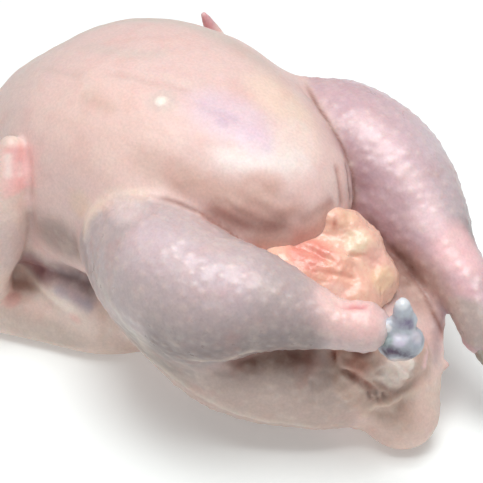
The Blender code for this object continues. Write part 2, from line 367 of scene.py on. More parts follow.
def tinted(colours: np.ndarray, colour: Colour, weight: np.ndarray) -> np.ndarray:
    """Rows of colour, each moved towards one colour by its weight."""
    share = weight[:, None]
    return colours * (1 - share) + linear(colour) * share


def painted(base: np.ndarray, stains_and_painted_light: Sequence[StainAndPaintedLight], points: np.ndarray) -> np.ndarray:
    """A colour a point, with patches laid over it in order, painted shade and painted highlights among them.

    Args:
        base: rows of linear red, green and blue.
        stains_and_painted_light: what is laid over, first to last.
        points: the same rows' places.

    Returns:
        The colours with the patches laid over.
    """
    colours = base
    for mark in stains_and_painted_light:
        colours = tinted(colours, mark.colour, mark.weight(points))
    return colours


def clouds(points: np.ndarray, size: float, octaves: int, seed: float) -> np.ndarray:
    """Soft noise between about -1 and 1 at each point.

    Args:
        points: rows of x, y, z in centimetres.
        size: the width of its largest lumps.
        octaves: how many finer layers it has.
        seed: moves it to another place of the noise.

    Returns:
        One value a point.
    """
    rows = points / size + seed * NOISE_STRIDE
    return np.array([noise.fractal(Vector(row), 1.0, 2.0, octaves) for row in rows])


@dataclass(frozen=True)
class Unevenness:
    """Soft noise that lifts a surface by up to height, in lumps about as wide as size."""

    height: float
    size: float
    octaves: int
    seed: float

    def relief(self, points: np.ndarray) -> np.ndarray:
        """How far each point is lifted, in centimetres."""
        return self.height * clouds(points, self.size, self.octaves, self.seed)


class Sculpt:
    """A mesh round a blended form, whose points are moved by number."""

    def __init__(self, name: str, shapes: Sequence[Mass | Limb], form: Form, voxel: float) -> None:
        """Makes the mesh.

        Args:
            name: the piece's name.
            shapes: the masses and limbs that the form blends.
            form: the signed distance that the mesh settles onto.
            voxel: the size of its faces.
        """
        self.name = name
        self.form = form
        self._take(self._remeshed(self._joined(shapes), ROUGH_SHARE * voxel))
        for _ in range(SETTLING_ROUNDS):
            self.settle(1)
            self.relax(2)
        self.settle(2)
        self.normals()
        self._take(self._remeshed(self.mesh, voxel))
        self.relax(2)
        self.settle(2)

    def _take(self, mesh: bpy.types.Mesh) -> None:
        """Works on this mesh from here on.

        Args:
            mesh: a closed mesh.
        """
        self.mesh = mesh
        self.points = self._read("co")
        pairs = np.empty(2 * len(mesh.edges), np.int64)
        mesh.edges.foreach_get("vertices", pairs)
        self.ends = pairs.reshape(-1, 2)
        self.degree = np.bincount(pairs, minlength=len(self.points))[:, None]

    def _joined(self, shapes: Sequence[Mass | Limb]) -> bpy.types.Mesh:
        """All the shapes as one mesh of overlapping pieces.

        Args:
            shapes: the masses and limbs.

        Returns:
            The new mesh.
        """
        pieces = [piece for shape in shapes for piece in shape.add()]
        bpy.context.view_layer.update()
        whole = bmesh.new()
        for piece in pieces:
            piece.data.transform(piece.matrix_world)
            whole.from_mesh(piece.data)
        mesh = bpy.data.meshes.new(self.name)
        whole.to_mesh(mesh)
        whole.free()
        for piece in pieces:
            bpy.data.objects.remove(piece)
        return mesh

    def _remeshed(self, mesh: bpy.types.Mesh, voxel: float) -> bpy.types.Mesh:
        """The mesh made again as one closed skin of even faces.

        Args:
            mesh: pieces that may overlap.
            voxel: the size of the faces.

        Returns:
            The new mesh.
        """
        rough = bpy.data.objects.new("rough", mesh)
        bpy.context.scene.collection.objects.link(rough)
        remesh = rough.modifiers.new("remesh", "REMESH")
        remesh.mode = "VOXEL"
        remesh.voxel_size = voxel
        bpy.context.view_layer.update()
        graph = bpy.context.evaluated_depsgraph_get()
        closed = bpy.data.meshes.new_from_object(rough.evaluated_get(graph))
        closed.name = self.name
        bpy.data.objects.remove(rough)
        return closed

    def _read(self, attribute: str) -> np.ndarray:
        """Three numbers of each of the mesh's points.

        Args:
            attribute: their name in Blender.

        Returns:
            One row a point.
        """
        flat = np.empty(3 * len(self.mesh.vertices))
        self.mesh.vertices.foreach_get(attribute, flat)
        return flat.reshape(-1, 3)

    def normals(self) -> np.ndarray:
        """The outward direction at each point, after the points are written to the mesh.

        Returns:
            One row a point.
        """
        self.mesh.vertices.foreach_set("co", self.points.reshape(-1))
        self.mesh.update()
        return self._read("normal")

    def relax(self, rounds: int, share: float = 0.5) -> None:
        """Moves each point towards the middle of its neighbours.

        Args:
            rounds: how many times.
            share: how far, as a share of the way.
        """
        for _ in range(rounds):
            total = np.zeros_like(self.points)
            for axis in range(3):
                total[:, axis] = np.bincount(
                    self.ends.ravel(), self.points[self.ends[:, ::-1].ravel(), axis], len(self.points)
                )
            self.points += share * (total / self.degree - self.points)

    def settle(self, rounds: int) -> None:
        """Moves the points along their normals until they lie on the form.

        Args:
            rounds: how many steps they take.
        """
        for _ in range(rounds):
            here = self.form(self.points)
            self.points -= np.clip(here, -LONGEST_STEP, LONGEST_STEP)[:, None] * self.normals()

    def lift(self, heights: np.ndarray) -> None:
        """Moves each point outwards by its height."""
        self.points += heights[:, None] * self.normals()

    def finish(
        self, colours: np.ndarray, masks: dict[str, np.ndarray], material: bpy.types.Material
    ) -> bpy.types.Object:
        """The piece in the object's frame, with its material and the colours and masks that it reads.

        Args:
            colours: a linear colour for each point.
            masks: named values for each point.
            material: the piece's material.

        Returns:
            The new object.
        """
        self.mesh.vertices.foreach_set("co", to_row(self.points).reshape(-1))
        tint = self.mesh.color_attributes.new("tint", "FLOAT_COLOR", "POINT")
        rows = np.ones((len(colours), 4), np.float32)
        rows[:, :3] = np.clip(colours, 0, 1)
        tint.data.foreach_set("color", rows.reshape(-1))
        for name, values in masks.items():
            mask = self.mesh.attributes.new(name, "FLOAT", "POINT")
            mask.data.foreach_set("value", values.astype(np.float32))
        self.mesh.update()
        self.mesh.shade_smooth()
        self.mesh.materials.append(material)
        piece = bpy.data.objects.new(self.name, self.mesh)
        bpy.context.scene.collection.objects.link(piece)
        return piece


class Side(Enum):
    """The bird's right, near the camera, and its left."""

    NEAR = "right"
    FAR = "left"


@dataclass(frozen=True)
class Follicles:
    """Goose bumps where feathers were."""

    spacing: float = 0.4
    height: float = 0.042
    width: float = 0.13
    sizes: Range = (0.55, 1.15)

    def seeds(self, points: np.ndarray, allowed: np.ndarray) -> list[int]:
        """Scattered points no closer to each other than the spacing.

        Args:
            points: rows of x, y, z.
            allowed: how welcome a bump is at each point, from 0 to 1.

        Returns:
            The rows that hold a bump.
        """
        draw = np.random.default_rng(SEED)
        order = draw.permutation(np.flatnonzero(allowed > draw.random(len(points))))
        taken: dict[tuple[int, int, int], list[int]] = {}
        chosen = []
        for row in order:
            cell = tuple(np.floor(points[row] / self.spacing).astype(int))
            around = product(*((step - 1, step, step + 1) for step in cell))
            crowd = [other for near in around for other in taken.get(near, ())]
            if any(np.sum((points[row] - points[other]) ** 2) < self.spacing**2 for other in crowd):
                continue
            taken.setdefault(cell, []).append(row)
            chosen.append(row)
        return chosen

    def relief(self, points: np.ndarray, allowed: np.ndarray) -> np.ndarray:
        """A small dome at each seed.

        Args:
            points: rows of x, y, z.
            allowed: how welcome a bump is at each point, from 0 to 1.

        Returns:
            The dome's share of its full height at each point.
        """
        chosen = self.seeds(points, allowed)
        tree = kdtree.KDTree(len(chosen))
        for index, row in enumerate(chosen):
            tree.insert(Vector(points[row]), index)
        tree.balance()
        draw = np.random.default_rng(SEED + 1)
        sizes = draw.uniform(*self.sizes, len(chosen))
        shares = np.zeros(len(points))
        for row in np.flatnonzero(allowed > 0):
            _, index, gap = tree.find(Vector(points[row]))
            if gap < 3 * self.width:
                shares[row] = sizes[index] * math.exp(-((gap / self.width) ** 2))
        return shares


@dataclass(frozen=True)
class Wrinkles:
    """Parallel folds across a patch of skin."""

    patch: Mass
    across: Place
    spacing: float
    height: float
    wander: float = 1.2

    def relief(self, points: np.ndarray) -> np.ndarray:
        """How far the wrinkles lift each point.

        Args:
            points: rows of x, y, z.

        Returns:
            Heights in centimetres.
        """
        weight = smooth(1.1, 0.4, self.patch.distance(points) / min(self.patch.radii) + 1)
        heights = np.zeros(len(points))
        rows = np.flatnonzero(weight > 0)
        if not len(rows):
            return heights
        way = np.array(self.across) / np.linalg.norm(self.across)
        drift = self.wander * clouds(points[rows], 4 * self.spacing, 2, 3.1)
        heights[rows] = np.sin(2 * math.pi * (points[rows] @ way) / self.spacing + 2 * drift)
        return self.height * weight * heights


class Nodes:
    """Short ways to fill a material's node tree."""

    def __init__(self, name: str) -> None:
        """An empty material with a Principled shader.

        Args:
            name: the material's name.
        """
        self.material = bpy.data.materials.new(name)
        self.material.use_nodes = True
        self.tree = self.material.node_tree
        self.shader = self.tree.nodes["Principled BSDF"]
        self.place = self.tree.nodes.new("ShaderNodeTexCoord").outputs["Object"]

    def add(self, kind: str, **inputs: object) -> bpy.types.Node:
        """A node with its inputs linked or set by name; an underscore stands for a space.

        Args:
            kind: the node's type.
            inputs: a socket to link, or a value.

        Returns:
            The new node.
        """
        made = self.tree.nodes.new(kind)
        for name, value in inputs.items():
            self.feed(made.inputs[name.replace("_", " ")], value)
        return made

    def feed(self, socket: bpy.types.NodeSocket, value: object) -> None:
        """Links a socket to another, or sets it.

        Args:
            socket: the one that is fed.
            value: a socket or a constant.
        """
        if isinstance(value, bpy.types.NodeSocket):
            self.tree.links.new(value, socket)
        else:
            socket.default_value = value

    def attribute(self, name: str) -> bpy.types.Node:
        """The node that reads a value stored on the mesh.

        Args:
            name: what it is stored as.

        Returns:
            The new node.
        """
        made = self.tree.nodes.new("ShaderNodeAttribute")
        made.attribute_name = name
        return made

    def math(self, operation: str, first: object, second: object) -> bpy.types.NodeSocket:
        """The result of a sum on two values.

        Args:
            operation: the sum's name in Blender.
            first: a socket or a number.
            second: another.

        Returns:
            The result's socket.
        """
        made = self.tree.nodes.new("ShaderNodeMath")
        made.operation = operation
        self.feed(made.inputs[0], first)
        self.feed(made.inputs[1], second)
        return made.outputs[0]

    def noise(self, size: float, detail: float = 3.0, rough: float = 0.55) -> bpy.types.NodeSocket:
        """Noise whose lumps are about so wide, in millimetres."""
        return self.add(
            "ShaderNodeTexNoise", Vector=self.place, Scale=1000 / size, Detail=detail, Roughness=rough
        ).outputs["Fac"]

    def cells(self, size: float) -> bpy.types.NodeSocket:
        """Distance to the nearest of many scattered dots about so far apart, in millimetres."""
        return self.add("ShaderNodeTexVoronoi", Vector=self.place, Scale=1000 / size).outputs["Distance"]

    def ramp(
        self, factor: object, low: float, high: float, bottom: float = 0.0, top: float = 1.0
    ) -> bpy.types.NodeSocket:
        """A value moved from one range to another, and kept in it.

        Args:
            factor: the value.
            low: the first range's start.
            high: its end.
            bottom: the second range's start.
            top: its end.

        Returns:
            The result's socket.
        """
        made = self.tree.nodes.new("ShaderNodeMapRange")
        self.feed(made.inputs["Value"], factor)
        for name, value in (("From Min", low), ("From Max", high), ("To Min", bottom), ("To Max", top)):
            made.inputs[name].default_value = value
        return made.outputs["Result"]

    def mix(self, factor: object, first: object, second: object, way: str = "MIX") -> bpy.types.NodeSocket:
        """Two colours mixed.

        Args:
            factor: how much of the second there is.
            first: a socket or a colour.
            second: another.
            way: the blend's name in Blender.

        Returns:
            The result's socket.
        """
        made = self.tree.nodes.new("ShaderNodeMix")
        made.data_type = "RGBA"
        made.blend_type = way
        self.feed(made.inputs["Factor"], factor)
        self.feed(made.inputs[MIX_FIRST], first)
        self.feed(made.inputs[MIX_SECOND], second)
        return made.outputs[MIX_RESULT]

    def bump(
        self, height: object, depth: float, strength: float, under: object = None
    ) -> bpy.types.NodeSocket:
        """A normal tilted by a height.

        Args:
            height: a socket of heights, from 0 to 1.
            depth: how deep 1 is, in millimetres.
            strength: how much of the tilt shows.
            under: the normal that it tilts, where there is one.

        Returns:
            The normal's socket.
        """
        made = self.add("ShaderNodeBump", Height=height, Distance=depth / 1000, Strength=strength)
        if under is not None:
            self.feed(made.inputs["Normal"], under)
        return made.outputs["Normal"]

    def shade(self, **inputs: object) -> None:
        """Sets or links the shader's inputs by name."""
        for name, value in inputs.items():
            self.feed(self.shader.inputs[name.replace("_", " ")], value)


@dataclass(frozen=True)
class Moisture:
    """Light that spreads under a surface, to depth metres, and the wet film over it."""

    glow: float
    depth: float
    spread: Colour
    film: float
    film_roughness: float

    def wet(self, nodes: Nodes) -> None:
        """Sets the shader's glow and its film."""
        nodes.shade(Subsurface_Weight=self.glow, Subsurface_Scale=self.depth, Subsurface_Radius=self.spread)
        nodes.shade(Coat_Weight=self.film, Coat_Roughness=self.film_roughness)


@dataclass(frozen=True)
class SkinFinish:
    """Moist raw skin: mottled, thin enough to glow, with pores and a wet film. Sizes are in millimetres."""

    name: str = "raw_skin"
    roughness: float = 0.48
    wet_roughness: float = 0.34
    specular: float = 0.42
    flush: Colour = (226, 160, 150)
    flush_size: float = 14.0
    flush_share: float = 0.22
    pale: Colour = (246, 228, 214)
    pale_size: float = 9.0
    pale_share: float = 0.25
    pale_bumps: float = 0.14
    grain_size: float = 1.1
    crease_size: float = 3.5
    pore_gap: float = 2.6
    moisture: Moisture = Moisture(0.35, 0.005, (1.0, 0.42, 0.28), 0.1, 0.3)

    def material(self) -> bpy.types.Material:
        """The skin's material.

        Returns:
            The new material.
        """
        nodes = Nodes(self.name)
        tint = nodes.attribute("tint").outputs["Color"]
        bumps = nodes.attribute("bumps").outputs["Fac"]
        goose = nodes.attribute("goose").outputs["Fac"]
        blotches = nodes.ramp(nodes.noise(self.flush_size), 0.52, 0.75, 0.0, self.flush_share)
        paling = nodes.ramp(nodes.noise(self.pale_size, 4.0), 0.5, 0.78, 0.0, self.pale_share)
        grain = nodes.ramp(nodes.noise(self.grain_size, 2.0), 0.3, 0.7, 0.94, 1.05)
        colour = nodes.mix(blotches, tint, rgba(self.flush))
        colour = nodes.mix(paling, colour, rgba(self.pale))
        colour = nodes.mix(nodes.math("MULTIPLY", bumps, self.pale_bumps), colour, rgba(self.pale))
        grey = nodes.add("ShaderNodeCombineColor", Red=grain, Green=grain, Blue=grain).outputs["Color"]
        colour = nodes.mix(1.0, colour, grey, "MULTIPLY")
        dry = nodes.ramp(nodes.noise(5.0), 0.3, 0.7, self.roughness - 0.08, self.roughness + 0.1)
        wet = nodes.ramp(goose, 0.0, 1.0, 0.0, self.roughness - self.wet_roughness)
        rough = nodes.math("SUBTRACT", dry, wet)
        fine = nodes.bump(nodes.noise(self.grain_size, 2.0), 0.1, 0.25)
        creased = nodes.bump(nodes.noise(self.crease_size, 3.0, 0.5), 0.3, 0.3, fine)
        pits = nodes.ramp(nodes.cells(self.pore_gap), 0.0, 0.35)
        pitted = nodes.bump(pits, 0.06, 0.15, creased)
        nodes.shade(Base_Color=colour, Roughness=rough, Normal=pitted, Specular_IOR_Level=self.specular)
        self.moisture.wet(nodes)
        return nodes.material


@dataclass(frozen=True)
class FatFinish:
    """Soft raw fat: a waxy gloss over cloudy, threaded colour."""

    name: str = "raw_fat"
    roughness: float = 0.33
    cloud: Colour = (254, 226, 200)
    thread: Colour = (232, 120, 96)
    moisture: Moisture = Moisture(0.3, 0.004, (1.0, 0.55, 0.4), 0.2, 0.25)

    def material(self) -> bpy.types.Material:
        """The fat's material.

        Returns:
            The new material.
        """
        nodes = Nodes(self.name)
        tint = nodes.attribute("tint").outputs["Color"]
        cloudy = nodes.ramp(nodes.noise(4.0, 4.0), 0.45, 0.75, 0.0, 0.4)
        threads = nodes.ramp(nodes.noise(1.8, 5.0, 0.7), 0.56, 0.74, 0.0, 0.25)
        colour = nodes.mix(cloudy, tint, rgba(self.cloud))
        colour = nodes.mix(threads, colour, rgba(self.thread))
        lumpy = nodes.bump(nodes.noise(2.2, 4.0), 0.5, 0.7)
        rough = nodes.ramp(nodes.noise(3.0), 0.3, 0.7, self.roughness - 0.08, self.roughness + 0.12)
        nodes.shade(Base_Color=colour, Roughness=rough, Normal=lumpy)
        self.moisture.wet(nodes)
        return nodes.material


@dataclass(frozen=True)
class CartilageFinish:
    """Wet cartilage: bluish grey, nearly clear at its surface."""

    name: str = "cartilage"
    roughness: float = 0.34
    milk: Colour = (222, 232, 238)
    moisture: Moisture = Moisture(0.2, 0.002, (0.6, 0.7, 1.0), 0.25, 0.2)

    def material(self) -> bpy.types.Material:
        """The cartilage's material.

        Returns:
            The new material.
        """
        nodes = Nodes(self.name)
        tint = nodes.attribute("tint").outputs["Color"]
        milky = nodes.ramp(nodes.noise(3.0, 3.0), 0.42, 0.7, 0.0, 0.3)
        colour = nodes.mix(milky, tint, rgba(self.milk))
        ridged = nodes.bump(nodes.noise(1.6, 4.0), 0.35, 0.6)
        rough = nodes.ramp(nodes.noise(2.0), 0.3, 0.7, self.roughness - 0.06, self.roughness + 0.12)
        nodes.shade(Base_Color=colour, Roughness=rough, Normal=ridged)
        self.moisture.wet(nodes)
        return nodes.material


@dataclass(frozen=True)
class Leg:
    """A thigh, its drumstick and the web of skin at the knee."""

    thigh: Limb
    drumstick: Limb
    knee_web: Limb

    def lower(self, points: np.ndarray) -> np.ndarray:
        """Signed distance from points to the drumstick with its web."""
        return lumps((self.drumstick, self.knee_web), LIMB_FILLET, points)


@dataclass(frozen=True)
class Wing:
    """A folded wing: upper arm, forearm, hand and the skin between them."""

    upper_arm: Limb
    forearm: Limb
    hand: Limb
    web: Mass
    corner: Mass

    def parts(self) -> tuple[Mass | Limb, ...]:
        """Its limbs and then the masses between them."""
        return (self.upper_arm, self.forearm, self.hand, self.web, self.corner)

    def distance(self, points: np.ndarray) -> np.ndarray:
        """Signed distance from points to the wing."""
        return lumps((self.web, self.corner, self.upper_arm, self.forearm, self.hand), LIMB_FILLET, points)


# Lines on the breast and on the flank below it
UPPER_SHADE_BAND: Line = (
    (-5.2, -1, 11.4), (-4.2, -1, 11.7), (-2.6, -1, 12.1), (-1.4, -0.5, 12.3), (-0.9, 0.4, 12.3),
)
TOP_RIM: Line = (
    (-5.9, -4, 10), (-6.4, -3.1, 10.25), (-6.95, -1.66, 10.3), (-6.9, -0.3, 10.4), (-6.65, 1.2, 10.55),
    (-5.6, 1.95, 11), (-4.2, 2.6, 11.4), (-2.7, 2.9, 11.6), (-1, 2.9, 11.8), (0.6, 2.8, 11.8),
    (2.1, 2.8, 11.5), (3.4, 2.7, 11),
)
FRONT_LINE: Line = ((-5.9, -2.5, 10.8), (-4.8, -2.7, 11.2), (-3.9, -2.8, 11.5), (-2.8, -2.7, 11.7))
KEEL_LINE: Line = (
    (-2.6, -2.4, 11.8), (-1.5, -2.1, 12), (-0.9, -1.9, 12), (-0.3, -1.8, 12.05), (0.2, -1.55, 12.05),
    (0.9, -1.3, 12.1), (1.5, -1.2, 12.1),
)
BREAST_DENT: Line = ((-2.5, -3.5, 11.4), (-1.9, -3.35, 11.55), (-1.3, -3.46, 11.54), (-0.1, -3.45, 11.46))
BRUISE_STREAK: Line = ((1.7, -1.3, 12), (2.4, -1.3, 11.9), (3, -1.1, 11.8), (3.7, -0.8, 11.6))
SHINE_LINE: Line = (
    (3.2, -2.7, 11.05), (4.3, -2.2, 10.9), (4.9, -1.8, 10.8), (5.5, -1.1, 10.7), (6, -0.2, 10.5),
    (6.1, 0.4, 10.4),
)
PEACH_LINE: Line = ((2.4, -4.2, 10), (3.7, -3.5, 10.1), (4.7, -3, 10), (5.6, -2.4, 9.9), (6.6, -1.4, 9.9))
BREAST_UNDER_SHADE: Line = (
    (4, -3.8, 9.6), (5.1, -3.1, 9.35), (5.7, -2.7, 9.3), (6.3, -2.2, 9.3), (6.8, -1.6, 9.35),
    (7.1, -0.8, 9.4),
)
BREAST_EDGE: Line = (
    (4.1, -3.7, 9.3), (4.6, -3.4, 9.05), (5.1, -3.1, 8.85), (5.6, -2.85, 8.75), (6.1, -2.45, 8.7),
    (6.6, -2, 8.75), (6.9, -1.5, 8.85),
)
BREAST_TIP: Line = ((6.9, -1.5, 8.85), (7.1, -0.9, 9), (7.25, -0.2, 9.1), (7.3, 0.4, 9.15))
REAR_FOLD: Line = (
    (6.3, 2.1, 9.5), (6.66, 1.95, 9.1), (6.93, 1.7, 8.85), (7.04, 1.65, 8.5), (7.17, 1.5, 8.1),
)
REAR_CREASE: Line = (
    (6.5, 1.4, 9.95), (6.75, 1.2, 9.7), (6.95, 1, 9.4), (7.15, 0.85, 9.1), (7.3, 0.75, 8.8),
    (7.35, 0.65, 8.45),
)
FLANK_LINE: Line = ((5.9, -2.8, 8.3), (6.3, -2.6, 8.3), (6.7, -2.1, 8.3), (7.2, -1.5, 8.35))
SALMON_LINE: Line = (
    (6.9, -1.9, 8.3), (7.2, -1.4, 8.4), (7.4, -0.9, 8.5), (7.45, -0.4, 8.65), (7.5, 0.2, 8.7),
)

# Lines on the near leg
KNEE_RIM: Line = (
    (0.7, -6.6, 7.3), (0.5, -6.3, 7.85), (0.36, -6.02, 8.2), (0.5, -5.86, 8.55), (0.7, -5.66, 8.88),
    (1, -5.47, 9.16), (1.35, -5.27, 9.41), (1.89, -5.07, 9.61), (2.36, -4.84, 9.71), (2.8, -4.6, 9.76),
)
SIDE_RIM: Line = (
    (2, -7, 7.4), (2.6, -7.4, 7), (3.3, -7.75, 6.6), (3.9, -7.7, 6), (4.3, -7.3, 5.2), (4.3, -6.8, 4.3),
)
LOW_RIM: Line = (
    (3.64, -6.5, 3.9), (4.1, -6.5, 3.7), (4.8, -6.6, 3.7), (5.75, -6.5, 3.4), (6.45, -6.3, 3.1),
    (7.1, -6, 2.8), (7.7, -5.6, 2.5), (8.25, -5.2, 2.3),
)
THIGH_RIM: Line = ((7.1, -6, 2.8), (8.2, -5.2, 2.3), (9, -4.6, 2.1), (10.3, -3.3, 1.8))
DRUMSTICK_RIDGE: Line = (
    (2.6, -6.4, 9.2), (3.9, -6.5, 9.4), (5.7, -6.3, 9.5), (7.4, -6, 9.2), (9, -5.2, 8.8),
)
DRUMSTICK_SHADE: Line = (
    (4.6, -7.6, 5.9), (5.6, -7.6, 5.8), (7, -7.1, 5.9), (8.4, -6.2, 6.3), (10, -4.8, 6.5), (11, -4, 6.5),
)
DRUMSTICK_EDGE: Line = (
    (6.2, -7.2, 5.3), (7.1, -6.9, 5.6), (7.8, -6.3, 5.7), (8.5, -6, 6.2), (9.1, -5.3, 6.2),
)
THIGH_SHADE: Line = (
    (7.2, -6.1, 5), (7.8, -5.5, 5.1), (8.4, -5, 5.15), (8.9, -4.3, 5.15), (9.4, -3.7, 5),
    (9.75, -3.25, 4.8),
)
THIGH_CREASE: Line = ((9.8, -3.7, 4.4), (9.95, -3.9, 3.8), (10, -4, 3.2))
SECOND_CREASE: Line = ((10.8, -2.8, 4.5), (10.9, -2.9, 4), (11, -3, 3.4))
ANKLE_CREASE: Line = ((10.3, -3.5, 7.95), (10.7, -3.25, 7.92), (11.1, -3, 7.93), (11.5, -2.6, 7.9))

# Lines on the far leg
FAR_RIDGE: Line = (
    (4.6, 4.1, 10.3), (5.7, 4, 10), (6.8, 4, 9.5), (7.7, 3.9, 9), (8.5, 3.8, 8.5), (9.3, 3.8, 8),
    (10, 3.6, 7.5), (10.5, 3.2, 7),
)
FAR_DARK: Line = ((4.8, 3.5, 10), (5.5, 3.1, 9.6), (6.1, 2.8, 9.1), (6.7, 2.6, 8.5), (7, 2.4, 7.8))
FAR_RIM: Line = ((5.6, 6.6, 9), (7.8, 5.7, 8.8), (8.8, 5.3, 8.3), (9.8, 4.9, 7.7), (10.7, 4.2, 7.1))
INNER_SHADE: Line = ((8.3, 2.6, 6.3), (8.9, 2.4, 5.7), (9.5, 2.2, 5.3), (10, 2, 5.1))
INNER_GAP_SHADOW: Line = (
    (7.05, 2.3, 7.3), (7.6, 2.4, 6.9), (8.1, 2.5, 6.3), (8.6, 2.6, 6.1), (9.3, 2.6, 5.9), (10.1, 2.5, 5.8),
)

# Lines on the near wing
HAND_EDGE: Line = (
    (-4.3, -5.1, 9.5), (-3.75, -5.2, 9.1), (-3.3, -5.4, 8.6), (-3.1, -5.65, 7.9), (-3.08, -5.8, 7.1),
)
HAND_CLEFT: Line = (
    (-3.08, -5.8, 7.1), (-3.1, -5.85, 6.6), (-3.2, -5.85, 6), (-3.3, -5.85, 5.5), (-3.4, -5.95, 4.9),
    (-3.6, -6.1, 4.3),
)
HAND_FLUSH: Line = ((-4.1, -5.5, 9.6), (-3.7, -5.8, 8.9), (-3.4, -6.1, 8.2), (-3.2, -6.1, 7.7))
HAND_STREAK: Line = ((-4, -6, 9.35), (-3.8, -6.2, 8.9), (-3.65, -6.4, 8.3))
SECOND_STREAK: Line = ((-3.6, -5.7, 9), (-3.45, -5.85, 8.6), (-3.4, -5.95, 8.3))
ARMPIT: Line = (
    (-4.6, -5.75, 2.75), (-4.05, -5.8, 3.1), (-3.4, -5.9, 3.5), (-2.7, -5.85, 3.8), (-2.1, -5.7, 3.95),
    (-1.6, -5.55, 4), (-1.1, -5.4, 4), (-0.6, -5.2, 3.9), (0, -4.9, 3.8),
)
ARMPIT_LOW: Line = (
    (-2.4, -5.83, 3.15), (-1.8, -5.79, 3.23), (-1.2, -5.67, 3.27), (-0.6, -5.52, 3.24), (-0.1, -5.31, 3.05),
)
FOREARM_SHINE: Line = (
    (-4.6, -7, 2.2), (-4.23, -6.22, 2.45), (-4.09, -5.95, 2.4), (-3.79, -5.7, 2.35), (-3.32, -5.62, 2.42),
    (-2.49, -5.77, 2.64), (-1.89, -5.8, 2.66), (-1.32, -5.76, 2.68), (-0.6, -5.6, 2.6),
)

# Lines on the vent and the tail
VENT_LINE: Line = (
    (9.8, -2.75, 5.15), (9.96, -2.77, 5.03), (10.21, -2.83, 4.82), (10.44, -2.87, 4.63),
    (10.86, -2.91, 4.6), (11.18, -2.81, 4.43), (11.41, -2.54, 4.09), (11.58, -2.26, 3.75),
    (11.65, -2.15, 3.55),
)
FIRST_PUCKER: Line = ((11.45, -2.4, 3.75), (11.5, -2.4, 3.45), (11.55, -2.3, 3.2))
SECOND_PUCKER: Line = ((11.62, -2.2, 3.7), (11.66, -2.2, 3.4), (11.75, -2.15, 3.1))
THIRD_PUCKER: Line = ((11.85, -2, 3.65), (11.87, -1.99, 3.4), (11.95, -1.9, 3.15))
TAIL_LINE: Line = (
    (10.8, -2.45, 1.85), (11.1, -2.4, 2.15), (11.31, -2.33, 2.52), (11.58, -2.13, 2.86),
    (11.94, -1.96, 3.1), (12.05, -1.35, 3.07), (12.28, -0.78, 3.03), (12.45, -0.12, 2.95),
    (12.32, 0.84, 2.65),
)
TAIL_GROOVE: Line = (
    (11.2, -2.4, 2.75), (11.5, -2.3, 3.1), (11.85, -2, 3.35), (12.05, -1.35, 3.35), (12.2, -0.7, 3.35),
    (12.3, 0, 3.3),
)
PINK_LINE: Line = ((11.6, 1, 4.5), (11.9, 0.6, 4), (12, 0.3, 3.8), (12.1, 0, 3.5))
SKIN_STRIP: Line = ((11.1, 2.3, 4.6), (11.4, 1.9, 4), (11.7, 1.4, 3.5), (12.1, 0.8, 3))

# Lines on the fat and on the near hock
FAT_CREASE: Line = ((7.5, 0, 8.95), (7.65, -0.1, 8.75), (7.8, -0.25, 8.5), (7.85, -0.4, 8.3))
CRESCENT_SHADOW: Line = (
    (12.2, -2.85, 6.2), (12.35, -2.77, 6.36), (12.55, -2.74, 6.56), (12.8, -2.59, 6.54), (13.03, -2.4, 6.4),
    (13.15, -2.15, 6.15), (13.2, -2, 5.9),
)

# Limbs, each in stops of x, y, z and radius
THIGH = Limb(((1.9, -4.5, 6.2, 2), (3.6, -4.2, 4.9, 2.47), (6.05, -3.4, 3.85, 2.98), (8.6, -2.1, 3, 2.35)))
KNEE_WEB = Limb((
    (2.7, -4.9, 4.6, 0.85), (1.4, -4.6, 5.9, 0.85), (0.75, -4.5, 7.4, 0.8), (1.6, -4.4, 8.7, 0.6),
))
NEAR_DRUMSTICK = Limb((
    (1.75, -4.75, 7.05, 1.92), (3.65, -5.15, 7, 2.55), (5.69, -5.3, 6.95, 2.46), (7.54, -4.63, 7.32, 1.9),
    (9.29, -3.9, 7.17, 1.3), (10.5, -3.3, 7.02, 0.95), (11.35, -2.8, 7.05, 0.94),
))
FAR_DRUMSTICK = Limb((
    (1.7, 4.5, 7.4, 2), (3.8, 4.7, 7.9, 2.55), (6.05, 4.85, 7.35, 2.6), (8.2, 4.5, 6.55, 1.98),
    (9.9, 3.9, 5.85, 1.38), (11.8, 3.4, 5.05, 1.12), (13, 2.9, 4.3, 1.05),
))
UPPER_ARM = Limb(((-5.6, -4, 5, 1.9), (-2.5, -4.3, 3.5, 1.5), (0.6, -3.7, 2.2, 1.2)))
FOREARM = Limb((
    (0.5, -3.3, 1.3, 1), (-0.85, -4.5, 1.17, 1.05), (-3.3, -5.55, 1.14, 1.04), (-5.4, -6.5, 1.12, 1),
))
HAND_STOPS = (
    (-5.5, -6.75, 1.4, 0.95), (-5.05, -6.8, 3.4, 1.15), (-4.35, -6.45, 5.7, 1.2), (-4.2, -6.1, 7.6, 0.92),
)
NEAR_HAND = Limb((*HAND_STOPS, (-4.25, -5.6, 9.2, 0.48)))
FAR_HAND = Limb((*HAND_STOPS, (-4.13, -5.95, 9.2, 0.42), (-4.25, -5.5, 10.35, 0.12))).mirrored()
WING_WEB = Mass((-3.3, -4.55, 2.6), (3.4, 0.85, 2), pitch=8, yaw=-12)
WING_CORNER = Mass((-5.4, -4.85, 1.9), (1.1, 0.85, 1.4))

